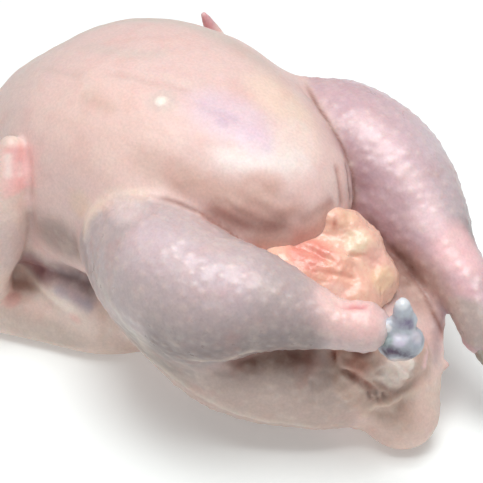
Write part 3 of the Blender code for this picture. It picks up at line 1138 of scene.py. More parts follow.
# Relief on the skin
BREAST_FOLDS: tuple[Fold, ...] = (
    Fold(KEEL_LINE, 0.15, -0.06), Fold(FRONT_LINE, 0.18, -0.04), Fold(BRUISE_STREAK, 0.16, -0.03),
    Fold(REAR_FOLD, 0.15, -0.2), Fold(REAR_CREASE, 0.13, -0.1), Fold(BREAST_EDGE, 0.34, -0.12),
)
PAIRED_FOLDS: tuple[Fold, ...] = (
    Fold(KNEE_RIM, 0.2, 0.06), Fold(LOW_RIM, 0.14, 0.05), Fold(ARMPIT, 0.5, -0.45),
    Fold(HAND_EDGE, 0.14, -0.1), Fold(HAND_CLEFT, 0.2, -0.12),
)
TAIL_END_FOLDS: tuple[Fold, ...] = (
    Fold(DRUMSTICK_EDGE, 0.12, 0.04), Fold(THIGH_RIM, 0.14, 0.06), Fold(THIGH_CREASE, 0.14, -0.1),
    Fold(SECOND_CREASE, 0.14, -0.1), Fold(ANKLE_CREASE, 0.12, -0.1), Fold(VENT_LINE, 0.12, -0.1),
    Fold(FIRST_PUCKER, 0.09, -0.12), Fold(SECOND_PUCKER, 0.09, -0.12), Fold(THIRD_PUCKER, 0.09, -0.12),
    Fold(TAIL_LINE, 0.16, 0.06), Fold(TAIL_GROOVE, 0.2, -0.14), Fold(PINK_LINE, 0.1, 0.08),
)
WRINKLES: tuple[Wrinkles, ...] = (
    Wrinkles(Mass((5.8, -2.3, 9.6), (1.9, 1.5, 1)), (0.3, 0.3, 1), 0.5, 0.016, 2.4),
    Wrinkles(Mass((11.9, -1.3, 4.2), (0.9, 1.2, 1)), (0.5, 0.5, 1), 0.42, 0.07, 2.4),
    Wrinkles(Mass((-8.6, 0.1, 4.2), (2, 3.6, 3.6)), (0, 1, 0.3), 1.2, 0.07),
    Wrinkles(Mass((1, -4.4, 2), (1.6, 1.4, 1.6)), (1, -0.4, 0.2), 0.7, 0.05),
    Wrinkles(Mass((1, 4.4, 2), (1.6, 1.4, 1.6)), (1, 0.4, 0.2), 0.7, 0.05),
    Wrinkles(Mass((11.2, -2.9, 7.6), (0.9, 1.3, 1.3)), (1, 0.5, 0), 0.5, 0.03),
)

# Patches of colour on the skin, those of the legs and wings on both sides: the skin's own tones, with painted
# shade and painted highlights among them
BREAST_STAINS_AND_PAINTED_LIGHT: tuple[StainAndPaintedLight, ...] = (
    spot((-0.5, -3.5, 10.5), (5, 3, 3), (244, 211, 199), 0.5),
    spot((3.4, 1.4, 11.2), (2.6, 1.6, 1.6), (250, 224, 204), 0.6),
    streak(TOP_RIM, 0.75, (202, 197, 186), 0.5),
    # Painted shade: a greyish band along the breast's upper ridge
    streak(UPPER_SHADE_BAND, 0.4, (216, 200, 192), 0.5),
    spot((-6.5, -3, 9), (3.2, 4, 4), (220, 200, 194), 0.6),
    streak(PEACH_LINE, 0.7, (222, 182, 168), 0.75),
    # Painted highlight: a paler tone on the lit rear of the breast's top
    spot((5.4, 0.2, 10.9), (1.6, 1.6, 1.2), (254, 232, 222), 0.6),
    StainAndPaintedLight(Mass((3.1, -1, 11.6), (2.6, 1.5, 1.4), yaw=10), (232, 208, 220), 0.7),
    spot((4.6, -1.1, 11.2), (1.2, 0.9, 0.8), (234, 208, 222), 0.6),
    spot((3.2, -1.45, 11.65), (0.4, 0.3, 0.3), (208, 182, 200), 0.5),
    spot((5, -1, 11.05), (0.35, 0.3, 0.3), (210, 182, 200), 0.5),
    streak(BRUISE_STREAK, 0.24, (206, 178, 196), 0.4),
    # Painted highlight: the pale band along the breast's lit shoulder
    streak(SHINE_LINE, 0.6, (254, 244, 240), 0.6),
    spot((0.8, -2.2, 12), (0.8, 0.8, 0.8), (212, 200, 192), 0.4),
    spot((0.77, -2.24, 11.95), (0.31, 0.31, 0.31), (255, 248, 238), 0.85),
    streak(KEEL_LINE, 0.2, (214, 178, 170), 0.45),
    streak(FRONT_LINE, 0.2, (214, 190, 180), 0.35),
    streak(BREAST_DENT, 0.32, (216, 182, 168), 0.5),
    # Painted shade: darker on the breast's lower near side
    spot((2.6, -3.9, 10.5), (2.2, 1, 0.9), (212, 178, 166), 0.5),
    # Painted shade: a soft darker band on the breast's underside
    streak(BREAST_UNDER_SHADE, 0.5, (204, 160, 148), 0.75),
    streak(FLANK_LINE, 0.5, (230, 194, 182), 0.85),
    # Painted shadow: the dark brown-red band under the breast's overhang, and its thinner end at the breast's
    # tip
    streak(BREAST_EDGE, 0.45, (160, 112, 102), 0.65),
    streak(BREAST_TIP, 0.24, (180, 128, 118), 0.7),
    # Painted shade: darker on the breast's underside towards its rear
    spot((5.75, -1.95, 10.25), (1.4, 1, 0.6), (214, 174, 162), 0.65),
    streak(SALMON_LINE, 0.42, (226, 168, 152), 0.75),
    streak(REAR_CREASE, 0.16, (188, 136, 126), 0.75),
    streak(REAR_FOLD, 0.18, (116, 62, 56), 0.85),
)
PAIRED_STAINS_AND_PAINTED_LIGHT: tuple[StainAndPaintedLight, ...] = (
    # Painted shade: darker on the drumstick's lower side, towards the thigh
    spot((4.6, -6.9, 4.9), (3, 1.6, 2), (158, 145, 138), 0.85),
    # Painted highlight: paler pink along the drumstick's lit top
    streak(DRUMSTICK_RIDGE, 1.2, (224, 202, 208), 0.8),
    streak(DRUMSTICK_SHADE, 1.7, (156, 140, 140), 0.75),
    streak(DRUMSTICK_SHADE, 0.9, (126, 108, 106), 0.75),
    # Painted highlight: a thin pale line along the drumstick's lower edge
    streak(DRUMSTICK_EDGE, 0.14, (206, 190, 178), 0.6),
    streak(THIGH_SHADE, 0.6, (150, 112, 98), 0.6),
    streak(THIGH_SHADE, 0.35, (112, 72, 58), 0.8),
    spot((-0.3, -5.5, 8.3), (1, 0.7, 0.8), (238, 206, 184), 0.6),
    streak(KNEE_RIM, 0.32, (246, 222, 206), 0.8),
    spot((2, -5.6, 9.3), (1.4, 0.9, 0.7), (242, 222, 220), 0.6),
    streak(SIDE_RIM, 0.22, (206, 194, 184), 0.6),
    # Painted highlights: pale lines along the thigh's lower outline
    streak(LOW_RIM, 0.18, (216, 202, 190), 0.7),
    streak(THIGH_RIM, 0.13, (226, 210, 200), 0.7),
    # Painted shade: the body's side between the hand and the knee, darker towards the armpit
    spot((-1.4, -5.8, 6.2), (2.3, 1.1, 1.6), (146, 124, 116), 0.75, 0.8),
    streak(HAND_FLUSH, 0.7, (255, 194, 192), 0.85),
    streak(HAND_STREAK, 0.2, (254, 232, 226), 0.85),
    streak(SECOND_STREAK, 0.16, (254, 226, 222), 0.7),
    streak(HAND_EDGE, 0.12, (206, 164, 156), 0.5),
    streak(HAND_CLEFT, 0.2, (160, 126, 120), 0.25),
    spot((-3.6, -6.9, 5.6), (1.2, 1.2, 1.9), (214, 188, 186), 0.6),
    spot((-2.6, -6.3, 1.2), (4.4, 1.3, 1), (200, 184, 174), 0.75),
    # Painted shadow in the armpit's recess: a dark maroon band and patch, and a lavender-grey band below them
    streak(ARMPIT, 0.62, (138, 114, 118), 0.88),
    spot((-3.6, -5.8, 3.75), (1.5, 1, 1.2), (130, 84, 88), 0.85),
    streak(ARMPIT_LOW, 0.34, (172, 160, 172), 0.8),
    # Painted highlight: the pale ridge along the forearm's top
    streak(FOREARM_SHINE, 0.4, (255, 236, 226), 0.95),
    spot((-4.1, -6.4, 2.1), (0.5, 0.6, 0.4), (240, 166, 158), 0.45),
    spot((-1.1, -5.9, 2.3), (0.6, 0.5, 0.4), (238, 176, 168), 0.5),
    # Painted shadow: a near-black spot deep in the armpit's recess
    spot((-0.45, -5.3, 4.25), (0.6, 0.6, 0.75), (56, 38, 38), 0.92),
)
TAIL_END_STAINS_AND_PAINTED_LIGHT: tuple[StainAndPaintedLight, ...] = (
    spot((11.2, -3.1, 7.8), (3.2, 1.9, 1.6), (255, 210, 206), 0.9, 0.95),
    streak(ANKLE_CREASE, 0.14, (214, 112, 116), 0.7),
    spot((12.15, -2.35, 7.2), (0.35, 0.8, 0.8), (252, 232, 232), 0.6),
    # Painted highlight: pale pink along the far drumstick's lit ridge
    streak(FAR_RIDGE, 0.6, (248, 218, 222), 0.75),
    streak(FAR_RIM, 0.9, (216, 204, 208), 0.6),
    # Painted shade: darker on the far drumstick's inner side, by the fat
    streak(FAR_DARK, 0.7, (176, 138, 144), 0.7),
    spot((11.2, 3.5, 6.9), (1.9, 1.5, 1.4), (252, 208, 210), 0.85),
    spot((11.9, 2.75, 5.85), (0.9, 0.5, 0.4), (246, 186, 190), 0.35, 0.9),
    spot((12.6, 2.1, 4.9), (1.8, 1.3, 1), (184, 170, 164), 0.9, 0.35),
    # Painted shade: brownish on the inner skin between the fat and the far drumstick
    spot((9.9, 2.1, 5.4), (2.4, 1.3, 1.8), (190, 157, 146), 0.8),
    streak(INNER_SHADE, 0.7, (152, 114, 104), 0.75),
    # Painted shadow: a dark line in the gap along the far drumstick's inner edge
    streak(INNER_GAP_SHADOW, 0.28, (112, 72, 64), 0.6),
    spot((11, -2.6, 4.85), (0.7, 0.5, 0.6), (202, 148, 130), 0.8),
    spot((11.9, -1.2, 4.3), (0.9, 1.2, 0.9), (254, 238, 228), 0.85),
    spot((12.1, -0.8, 3.75), (0.14, 0.2, 0.14), (164, 142, 130), 0.6),
    streak(VENT_LINE, 0.13, (146, 74, 52), 0.95),
    streak(FIRST_PUCKER, 0.08, (104, 62, 50), 0.8),
    streak(SECOND_PUCKER, 0.08, (104, 62, 50), 0.8),
    streak(THIRD_PUCKER, 0.08, (104, 62, 50), 0.7),
    spot((10.3, -3.4, 8.15), (1, 0.8, 0.5), (255, 218, 212), 0.6),
    # Painted highlight: lighter on the far drumstick's lit upper side
    spot((9.5, 3.35, 7.55), (1.3, 0.7, 0.8), (255, 226, 230), 0.6),
    streak(SKIN_STRIP, 0.35, (188, 162, 162), 0.8),
    # Painted shade: browner above the tail flap's edge
    streak(TAIL_GROOVE, 0.26, (172, 136, 124), 0.7),
    # Painted highlight: the tail flap's lit edge
    streak(TAIL_LINE, 0.18, (240, 216, 198), 0.5),
    streak(PINK_LINE, 0.14, (244, 206, 208), 0.85),
    spot((12.6, 0.5, 2.2), (0.8, 1.3, 0.9), (222, 200, 186), 0.6),
    spot((12.2, 1.9, 2.6), (0.5, 0.5, 0.4), (236, 196, 194), 0.7),
    spot((-4.2, 5.6, 10.2), (0.7, 0.7, 1.1), (226, 174, 180), 0.95),
)

# The fat's lobes, the gaps between them and its patches of colour
FAT_MASSES: tuple[Mass, ...] = (
    Mass((7.7, -0.9, 6.4), (1.8, 1.9, 1.7)), Mass((8.2, 0.5, 7.3), (1.15, 1.1, 1)),
    Mass((9.2, 0.5, 6.2), (1, 1, 1.1)), Mass((8.9, -0.8, 6), (1.5, 1.3, 1.2)),
    Mass((7.45, 0.1, 8), (1, 0.6, 0.8), yaw=42), Mass((7.75, 0.75, 7.9), (0.55, 0.5, 0.65)),
    Mass((7, -2.2, 7), (1.2, 1.2, 1)),
)
FAT_FOLDS: tuple[Fold, ...] = (
    Fold(((7.7, -0.3, 8), (7.65, -0.1, 8.3), (7.55, 0, 8.6)), 0.1, -0.22),
    Fold(((8.2, 0.4, 8.3), (8.6, 0.5, 8), (9, 0.4, 7.7)), 0.14, -0.12),
    Fold(((8.2, -1, 8.1), (8.5, -0.7, 8.1), (8.8, -0.6, 7.9), (9.2, -0.2, 7.4)), 0.13, -0.14),
    Fold(((6.9, -1.9, 7.9), (7.5, -1.6, 8.1), (8.3, -1.5, 8), (8.8, -1.2, 7.9)), 0.14, -0.12),
    Fold(((7.4, -1.1, 8.3), (8, -0.9, 8.2), (8.5, -0.7, 8.1)), 0.12, -0.1),
    Fold(((8.6, -1.8, 7.5), (9.1, -1.4, 7.4), (9.6, -0.8, 7.1)), 0.14, -0.1),
    Fold(((8.8, -0.6, 7.9), (9.3, -0.1, 7.6), (9.8, 0.4, 7.2)), 0.14, -0.12),
)
FAT_STAINS: tuple[StainAndPaintedLight, ...] = (
    spot((7.9, -1.7, 8), (1.4, 1.1, 1.1), (230, 142, 128), 0.85),
    spot((8.9, -1.4, 7.5), (1, 0.9, 0.7), (248, 184, 162), 0.75),
    spot((9.3, -1.9, 7), (0.9, 0.6, 0.5), (252, 206, 196), 0.7),
    spot((8.75, 0, 8.05), (0.8, 0.7, 0.6), (255, 226, 198), 0.9),
    spot((7.8, 0.4, 8.4), (0.6, 0.7, 0.6), (240, 196, 166), 0.8),
    spot((9.3, 0.4, 7.3), (0.8, 0.7, 0.8), (253, 198, 184), 0.8),
    spot((10, 0.1, 6.8), (0.8, 0.8, 0.7), (255, 214, 174), 0.6),
    streak(FAT_CREASE, 0.09, (200, 136, 116), 0.7),
)

# The hocks' knobs and their patches of colour, with painted shadow under the near knob
NEAR_HOCK_MASSES: tuple[Mass, ...] = (
    Mass((12.45, -2, 6.5), (0.72, 0.86, 0.8), yaw=-50),
    Mass((12.48, -1.95, 7.3), (0.42, 0.5, 0.5), yaw=-50), Mass((12.42, -1.98, 7.9), (0.34, 0.36, 0.46)),
    Mass((12.64, -1.7, 7.4), (0.14, 0.18, 0.55), pitch=-12), Mass((12.1, -2.4, 7.25), (0.26, 0.24, 0.3)),
)
NEAR_HOCK_STAINS_AND_SHADOW: tuple[StainAndPaintedLight, ...] = (
    spot((12.5, -2.1, 8.35), (0.5, 0.5, 0.3), (236, 238, 242), 0.85),
    spot((12.7, -2.2, 7.6), (0.5, 0.55, 0.34), (118, 98, 134), 0.8, 0.9),
    spot((12.3, -2.6, 7.35), (0.22, 0.22, 0.25), (252, 244, 244), 0.95),
    spot((12.8, -2.45, 7.05), (0.4, 0.4, 0.3), (232, 226, 240), 0.85),
    spot((13.2, -1.85, 6.9), (0.4, 0.5, 0.5), (150, 160, 178), 0.8),
    spot((12.4, -2.75, 6.85), (0.36, 0.36, 0.3), (208, 216, 208), 0.8),
    spot((12.65, -2.7, 6.55), (0.3, 0.25, 0.15), (226, 190, 196), 0.7),
    spot((12.3, -2.7, 6.85), (0.4, 0.4, 0.4), (150, 168, 170), 0.8),
    spot((12.75, -2.5, 6.86), (0.32, 0.32, 0.2), (232, 222, 242), 0.8),
    spot((13.15, -1.9, 7.2), (0.3, 0.4, 0.7), (226, 214, 222), 0.7),
    spot((12.9, -2, 7.5), (0.22, 0.22, 0.3), (120, 104, 138), 0.7),
    spot((12.8, -2.6, 5.9), (1.2, 1, 0.5), (210, 190, 184), 0.9),
    # Painted shadow: a dark purple crescent under the knob's base
    streak(CRESCENT_SHADOW, 0.24, (74, 54, 82), 0.97),
)
FAR_HOCK_MASSES: tuple[Mass, ...] = (
    Mass((13.5, 2.75, 3.8), (0.7, 0.88, 0.72), pitch=40), Mass((13.8, 2.3, 3.7), (0.42, 0.42, 0.45)),
)
FAR_HOCK_STAINS: tuple[StainAndPaintedLight, ...] = (
    spot((13.6, 2, 4.4), (0.5, 0.5, 0.5), (190, 176, 160), 0.6),
)


@dataclass
class Carcass:
    """All that the skin covers: trunk, legs, wings and tail.

    A fillet rounds the line between two masses of one part, and a seam the line between two parts. A Range is
    where a soft step starts and ends.
    """

    rib_cage: Mass = Mass((-0.8, 0, 4.9), (7.4, 4.9, 4.95))
    breast: tuple[Mass, Mass] = (
        Mass((-2.6, -2, 6.6), (6.3, 3.85, 4.75), pitch=2),
        Mass((2.2, -1.3, 8.6), (4.75, 2.5, 2.5), pitch=7, yaw=7),
    )
    belly: Mass = Mass((5.9, 0, 4), (4.5, 3.1, 3.1))
    rump: Mass = Mass((7.3, 0, 2.9), (4.6, 3.4, 2.95))
    shoulders: Mass = Mass((-7.2, 0, 4.4), (2.7, 3.6, 3.4))
    neck_flap: Mass = Mass((-8.45, 0.1, 3.4), (1.2, 3, 3.1), pitch=-12)
    tail: tuple[Mass, Mass] = (
        Mass((10.4, 0, 2.2), (1.8, 2, 1.7)),
        Mass((11.55, -0.45, 1.45), (1.6, 1.5, 1.45), yaw=-8),
    )
    vent: tuple[Mass, ...] = (
        Mass((10.5, -1.7, 4), (1.1, 1.5, 1.6)),
        Mass((11.35, -0.8, 3.9), (0.75, 0.8, 0.85)),
        Mass((11.35, -1.6, 3.3), (0.7, 0.7, 0.7)),
        Mass((11.1, 0.1, 3.6), (0.9, 0.9, 0.9)),
    )
    vent_crease: Limb = Limb((
        (9.8, -2.8, 5.15, 0.03), (10.3, -2.9, 4.75, 0.04), (10.86, -2.95, 4.6, 0.06),
        (11.18, -2.85, 4.43, 0.06), (11.45, -2.55, 4.05, 0.06), (11.65, -2.2, 3.55, 0.04),
    ))
    tail_strip: Limb = Limb((
        (10.6, 2.9, 4.7, 0.45), (10.95, 2.15, 3.9, 0.36), (11.4, 1.45, 2.9, 0.36), (11.7, 0.6, 2.2, 0.4),
    ))
    strip_point: Limb = Limb(((11.5, 1.25, 2.4, 0.35), (11.85, 1.65, 2.55, 0.18), (12, 1.9, 2.6, 0.1)))
    near_leg: Leg = Leg(THIGH, NEAR_DRUMSTICK, KNEE_WEB)
    far_leg: Leg = Leg(THIGH.mirrored(), FAR_DRUMSTICK, KNEE_WEB.mirrored())
    near_wing: Wing = Wing(UPPER_ARM, FOREARM, NEAR_HAND, WING_WEB, WING_CORNER)
    far_wing: Wing = Wing(*mirrored((UPPER_ARM, FOREARM)), FAR_HAND, *mirrored((WING_WEB, WING_CORNER)))
    breast_fillet: float = 3.5
    keel_fillet: float = 3.2
    trunk_fillet: float = 1.0
    shoulder_fillet: float = 1.5
    flap_fillet: float = 0.5
    tail_fillet: float = 0.8
    vent_fillet: float = 0.4
    vent_seam: float = 0.5
    strip_seam: float = 0.8
    point_seam: float = 0.25
    wing_seam: float = 0.3
    leg_seam: float = 0.22
    knee_seam: float = 1.1
    knee_slope: float = 0.8
    knee_top: float = 9.5
    knee_range: Range = (4.4, 2.6)
    vent_crease_edge: float = 0.15
    drumstick_edge: Range = (0.0, 0.45)
    thigh_edge: Range = (-0.1, 0.5)
    wing_edge: Range = (-0.05, 0.3)
    tail_edge: Range = (-0.2, 0.4)
    vent_edge: Range = (-0.2, 0.2)
    # Where a drumstick lies against the body the skin takes a darker, redder colour: painted shade with the
    # skin's own redder tone. The flank mass lessens it there.
    crease_width: float = 0.16
    crease_start: Range = (2.2, 3.4)
    crease_low: Range = (6.6, 5.6)
    crease_front: Range = (8.4, 6.8)
    crease_shade_colour: Colour = (140, 92, 82)
    crease_shade_share: float = 0.8
    flank: Mass = Mass((6.35, -2.5, 8.3), (1.5, 1.2, 1))
    flank_opening: float = 0.65
    breast_colour: Colour = (235, 204, 198)
    part_colours: tuple[tuple[str, Colour], ...] = (
        ("near_thigh", (202, 178, 169)), ("far_thigh", (202, 178, 169)), ("near_drumstick", (197, 179, 179)),
        ("far_drumstick", (208, 177, 184)), ("near_wing", (236, 212, 202)), ("far_wing", (236, 212, 202)),
        ("tail", (232, 203, 192)), ("vent", (206, 176, 162)),
    )
    wrinkles: tuple[Wrinkles, ...] = WRINKLES
    swells: Unevenness = Unevenness(0.05, 2.4, 2, 1.0)
    ripples: Unevenness = Unevenness(0.028, 0.8, 2, 2.0)
    vent_lumps: Unevenness = Unevenness(0.12, 0.6, 3, 4.0)
    table_gap: Range = (0.2, 1.0)
    drumstick_pebbles: float = 0.95
    thigh_pebbles: float = 0.15
    side_pebbles: float = 0.1
    side_heights: Range = (8.0, 5.5)
    pebble_heights: Range = (0.6, 1.6)
    last_relax: float = 0.3
    voxel: float = 0.105
    quick_voxel: float = 0.16
    follicles: Follicles = Follicles()
    finish: SkinFinish = SkinFinish()

    def trunk(self, points: np.ndarray) -> np.ndarray:
        """Signed distance to the body without its limbs.

        Args:
            points: rows of x, y, z.

        Returns:
            One distance a row.
        """
        near = lumps(self.breast, self.breast_fillet, points)
        far = lumps(mirrored(self.breast), self.breast_fillet, points)
        form = blend(self.rib_cage.distance(points), blend(near, far, self.keel_fillet), self.trunk_fillet)
        for mass in (self.belly, self.rump):
            form = blend(form, mass.distance(points), self.trunk_fillet)
        form = blend(form, self.shoulders.distance(points), self.shoulder_fillet)
        return blend(form, self.neck_flap.distance(points), self.flap_fillet)

    def distance(self, points: np.ndarray) -> np.ndarray:
        """Signed distance to the whole skin.

        Args:
            points: rows of x, y, z.

        Returns:
            One distance a row.
        """
        form = blend(self.trunk(points), lumps(self.tail, self.tail_fillet, points), self.tail_fillet)
        for leg in (self.near_leg, self.far_leg):
            form = blend(form, leg.thigh.distance(points), self.trunk_fillet)
        form = blend(form, lumps(self.vent, self.vent_fillet, points), self.vent_seam)
        form = blend(form, self.tail_strip.distance(points), self.strip_seam)
        form = blend(form, self.strip_point.distance(points), self.point_seam)
        form = carve(form, self.vent_crease.distance(points), self.vent_crease_edge)
        behind = points[:, 0] - self.knee_slope * (self.knee_top - points[:, 2])
        seam = self.leg_seam + self.knee_seam * smooth(*self.knee_range, behind)
        for leg in (self.near_leg, self.far_leg):
            form = blend(form, leg.lower(points), seam)
        for wing in (self.near_wing, self.far_wing):
            form = blend(form, wing.distance(points), self.wing_seam)
        return form

    def shapes(self) -> list[Mass | Limb]:
        """Every mass and limb that the skin goes round.

        Returns:
            Masses and limbs in the order in which they are joined.
        """
        found = [self.rib_cage, self.belly, self.rump, self.shoulders, self.neck_flap, *self.tail]
        found.extend((*self.breast, *mirrored(self.breast), *self.vent, self.tail_strip, self.strip_point))
        for leg in (self.near_leg, self.far_leg):
            found.extend((leg.thigh, leg.drumstick, leg.knee_web))
        for wing in (self.near_wing, self.far_wing):
            found.extend(wing.parts())
        return found

    def crease(self, leg: Leg, trunk: np.ndarray, points: np.ndarray) -> np.ndarray:
        """How near each point is to the line where a drumstick lies against the body; painted shade is laid
        along this line.

        Args:
            leg: the drumstick's leg.
            trunk: the points' distances to the trunk.
            points: rows of x, y, z on the skin.

        Returns:
            Shares from 0 to 1.
        """
        body = np.minimum(trunk, leg.thigh.distance(points))
        meeting = np.exp(-(((body - leg.lower(points)) / self.crease_width) ** 2))
        meeting *= smooth(*self.crease_start, points[:, 0])
        low = smooth(*self.crease_low, points[:, 2]) * smooth(*self.crease_front, points[:, 0])
        return meeting * (1 - low)

    def regions(self, points: np.ndarray) -> dict[str, np.ndarray]:
        """How much each point belongs to each part of the bird.

        Args:
            points: rows of x, y, z on the skin.

        Returns:
            Shares from 0 to 1 by the part's name.
        """
        trunk = self.trunk(points)
        found = {}
        creases = []
        others = trunk
        for name, leg in (("near", self.near_leg), ("far", self.far_leg)):
            drumstick = leg.drumstick.distance(points)
            thigh = leg.thigh.distance(points)
            web = leg.knee_web.distance(points)
            beside = np.minimum.reduce((thigh, web, trunk)) - drumstick
            found[f"{name}_drumstick"] = smooth(*self.drumstick_edge, beside)
            beside = np.minimum.reduce((drumstick, web, trunk)) - thigh
            found[f"{name}_thigh"] = smooth(*self.thigh_edge, beside)
            others = np.minimum.reduce((others, drumstick, thigh))
            creases.append(self.crease(leg, trunk, points))
        for name, wing in (("near", self.near_wing), ("far", self.far_wing)):
            found[f"{name}_wing"] = smooth(*self.wing_edge, others - wing.distance(points))
        found["crease"] = np.maximum(*creases)
        found["tail"] = smooth(*self.tail_edge, others - lumps(self.tail, self.tail_fillet, points))
        found["vent"] = smooth(*self.vent_edge, others - lumps(self.vent, self.vent_fillet, points))
        return found

    def folds(self) -> list[Fold]:
        """Creases and rims that are raised or sunk into the skin."""
        return [*BREAST_FOLDS, *PAIRED_FOLDS, *mirrored(PAIRED_FOLDS), *TAIL_END_FOLDS]

    def stains_and_painted_light(self) -> list[StainAndPaintedLight]:
        """Every patch of colour on the skin, broad ones first, painted shade and painted highlights among
        them.
        """
        return [*BREAST_STAINS_AND_PAINTED_LIGHT, *PAIRED_STAINS_AND_PAINTED_LIGHT, *mirrored(PAIRED_STAINS_AND_PAINTED_LIGHT), *TAIL_END_STAINS_AND_PAINTED_LIGHT]

    def welcome(self, goose: np.ndarray, thighs: np.ndarray, heights: np.ndarray) -> np.ndarray:
        """How welcome a goose bump is at each point.

        Args:
            goose: how much each point belongs to a drumstick.
            thighs: how much it belongs to a thigh.
            heights: its z.

        Returns:
            Shares from 0 to 1.
        """
        sides = self.side_pebbles * smooth(*self.side_heights, heights)
        most = np.maximum.reduce((self.drumstick_pebbles * goose, self.thigh_pebbles * thighs, sides))
        return np.clip(most, 0, 1) * smooth(*self.pebble_heights, heights)

    def coloured(self, parts: dict[str, np.ndarray], points: np.ndarray) -> np.ndarray:
        """The skin's colours: broad ones by part, then patches, painted shade and painted highlights among
        them, then painted shade with a redder tone in the creases.

        Args:
            parts: shares from regions.
            points: the same points.

        Returns:
            A linear colour for each point.
        """
        colours = np.tile(linear(self.breast_colour), (len(points), 1))
        for name, colour in self.part_colours:
            colours = tinted(colours, colour, parts[name])
        colours = painted(colours, self.stains_and_painted_light(), points)
        # Painted shade, with the skin's redder tone, in the creases where the drumsticks lie against the
        # body, less on the open flank
        open_flank = 1 - self.flank_opening * self.flank.weight(points)
        return tinted(colours, self.crease_shade_colour, self.crease_shade_share * (parts["crease"] * open_flank))

    def build(self) -> bpy.types.Object:
        """The skin's mesh, settled, creased and coloured.

        Returns:
            The new object.
        """
        voxel = self.voxel
        skin = Sculpt("skin", self.shapes(), self.distance, voxel)
        log.info("skin settled: %d points", len(skin.points))
        parts = self.regions(skin.points)
        still = skin.points.copy()
        heights = still[:, 2]
        goose = np.clip(parts["near_drumstick"] + parts["far_drumstick"], 0, 1)
        thighs = np.clip(parts["near_thigh"] + parts["far_thigh"], 0, 1)
        relief = sum(fold.relief(still) for fold in self.folds())
        relief += sum(patch.relief(still) for patch in self.wrinkles)
        relief += self.swells.relief(still) + self.ripples.relief(still)
        relief += parts["vent"] * self.vent_lumps.relief(still)
        shares = self.follicles.relief(still, self.welcome(goose, thighs, heights))
        skin.lift(smooth(*self.table_gap, heights) * (relief + self.follicles.height * shares))
        skin.relax(1, self.last_relax)
        skin.points[:, 2] = np.maximum(skin.points[:, 2], TABLE_LEVEL)
        masks = {"bumps": shares, "goose": goose}
        return skin.finish(self.coloured(parts, still), masks, self.finish.material())


@dataclass
class Lump:
    """A small piece that blends several masses."""

    name: str
    masses: tuple[Mass, ...]
    stains_and_painted_light: tuple[StainAndPaintedLight, ...]
    colour: Colour
    finish: FatFinish | CartilageFinish
    unevenness: Unevenness
    fillet: float
    voxel: float
    folds: tuple[Fold, ...] = ()

    def distance(self, points: np.ndarray) -> np.ndarray:
        """Signed distance to the piece."""
        return lumps(self.masses, self.fillet, points)

    def build(self) -> bpy.types.Object:
        """The piece's mesh, uneven and coloured.

        Returns:
            The new object.
        """
        piece = Sculpt(self.name, self.masses, self.distance, self.voxel)
        still = piece.points.copy()
        piece.lift(sum(fold.relief(still) for fold in self.folds) + self.unevenness.relief(still))
        base = np.tile(linear(self.colour), (len(still), 1))
        return piece.finish(painted(base, self.stains_and_painted_light, still), {}, self.finish.material())


@dataclass
class BellyFat(Lump):
    """The lumps of fat at the mouth of the cavity."""

    name: str = "fat"
    masses: tuple[Mass, ...] = FAT_MASSES
    stains_and_painted_light: tuple[StainAndPaintedLight, ...] = FAT_STAINS
    colour: Colour = (248, 196, 176)
    finish: FatFinish = FatFinish()
    unevenness: Unevenness = Unevenness(0.11, 0.9, 4, 5.0)
    fillet: float = 0.4
    voxel: float = 0.06
    folds: tuple[Fold, ...] = FAT_FOLDS


@dataclass
class Hock(Lump):
    """The cut end of a drumstick: a knob of cartilage and the sinews round it."""

    unevenness: Unevenness = Unevenness(0.07, 0.6, 4, 8.0)
    fillet: float = 0.16
    voxel: float = 0.045


NEAR_HOCK = Hock(
    f"hock_{Side.NEAR.value}", NEAR_HOCK_MASSES, NEAR_HOCK_STAINS_AND_SHADOW, (188, 192, 202),
    CartilageFinish("cartilage_blue"),
)
FAR_HOCK = Hock(
    f"hock_{Side.FAR.value}", FAR_HOCK_MASSES, FAR_HOCK_STAINS, (150, 136, 120),
    CartilageFinish("cartilage_olive", 0.32),
)


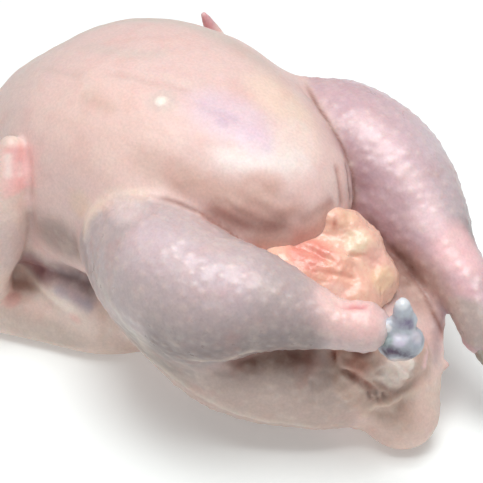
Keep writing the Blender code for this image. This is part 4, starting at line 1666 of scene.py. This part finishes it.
@dataclass
class Studio:
    """A white table, a soft light from above, a pale world and the photograph's camera."""

    floor_size: float = 6.0
    floor_drop: float = 0.0002
    floor_colour: tuple[float, float, float, float] = (0.84, 0.885, 0.875, 1.0)
    floor_glow: float = 0.22
    sky_strength: float = 0.17
    lamp_place: Place = (0.11, -0.1, 1.5)
    lamp_aim: Place = (0, 0, 0.05)
    lamp_size: float = 0.95
    lamp_power: float = 22.0
    azimuth: float = 41.95
    elevation: float = 37.43
    distance: float = 0.7728
    target: Place = (0.005383, 0.001915, 0.0470)
    lens: float = 142.46
    sensor: float = 36.0

    def floor(self) -> None:
        """The table, whiter than white, so that only the bird's shadow shows."""
        bpy.ops.mesh.primitive_plane_add(size=self.floor_size, location=(0, 0, -self.floor_drop))
        table = bpy.context.object
        table.name = "table"
        nodes = Nodes("table_white")
        nodes.shade(Base_Color=self.floor_colour, Roughness=0.9, Specular_IOR_Level=0.1)
        nodes.shade(Emission_Color=(1.0, 1.0, 1.0, 1.0), Emission_Strength=self.floor_glow)
        table.data.materials.append(nodes.material)

    def lamp(self) -> None:
        """A square area light above the table, to the camera's side."""
        data = bpy.data.lights.new("overhead", "AREA")
        data.shape = "SQUARE"
        data.size = self.lamp_size
        data.energy = self.lamp_power
        lamp = bpy.data.objects.new("overhead", data)
        lamp.location = self.lamp_place
        way = Vector(self.lamp_aim) - Vector(self.lamp_place)
        lamp.rotation_euler = way.to_track_quat("-Z", "Y").to_euler()
        bpy.context.scene.collection.objects.link(lamp)

    def sky(self) -> None:
        """An even pale world."""
        world = bpy.data.worlds.new("studio")
        world.use_nodes = True
        back = world.node_tree.nodes["Background"]
        back.inputs["Color"].default_value = (1.0, 1.0, 1.0, 1.0)
        back.inputs["Strength"].default_value = self.sky_strength
        bpy.context.scene.world = world

    def camera(self) -> None:
        """The camera at the photograph's angle and distance."""
        turn, rise = math.radians(self.azimuth), math.radians(self.elevation)
        back = Vector((math.sin(turn) * math.cos(rise), -math.cos(turn) * math.cos(rise), math.sin(rise)))
        data = bpy.data.cameras.new("camera")
        data.lens = self.lens
        data.sensor_width = self.sensor
        data.clip_start = 0.01
        camera = bpy.data.objects.new("camera", data)
        camera.location = Vector(self.target) + self.distance * back
        camera.rotation_euler = back.to_track_quat("Z", "Y").to_euler()
        bpy.context.scene.collection.objects.link(camera)
        bpy.context.scene.camera = camera

    def build(self) -> None:
        """Floor, lights, world and camera."""
        self.floor()
        self.sky()
        self.lamp()
        self.camera()
        view = bpy.context.scene.view_settings
        view.view_transform = "Standard"
        view.look = "None"


def dress(piece: bpy.types.Object, slot: str, *nodes: str) -> None:
    """Makes a piece ride on the bird in place of its solids.

    Args:
        piece: the new mesh.
        slot: the record's material slot; not used.
        nodes: the solids that it stands for.
    """
    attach(piece, "root")
    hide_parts(*nodes)
    log.info("%s: %d points, for %s", piece.name, len(piece.data.vertices), ", ".join(nodes))


def main() -> None:
    """Builds the bird and the studio."""
    logging.basicConfig(level=logging.INFO, format="%(name)s: %(message)s")
    Studio().build()
    dress(Carcass().build(), "skin", "carcass")
    dress(BellyFat().build(), "fat", "belly_fat")
    dress(NEAR_HOCK.build(), "cartilage", "hock_cartilage_right")
    dress(FAR_HOCK.build(), "cartilage", "hock_cartilage_left")


if __name__ == "__main__":
    main()
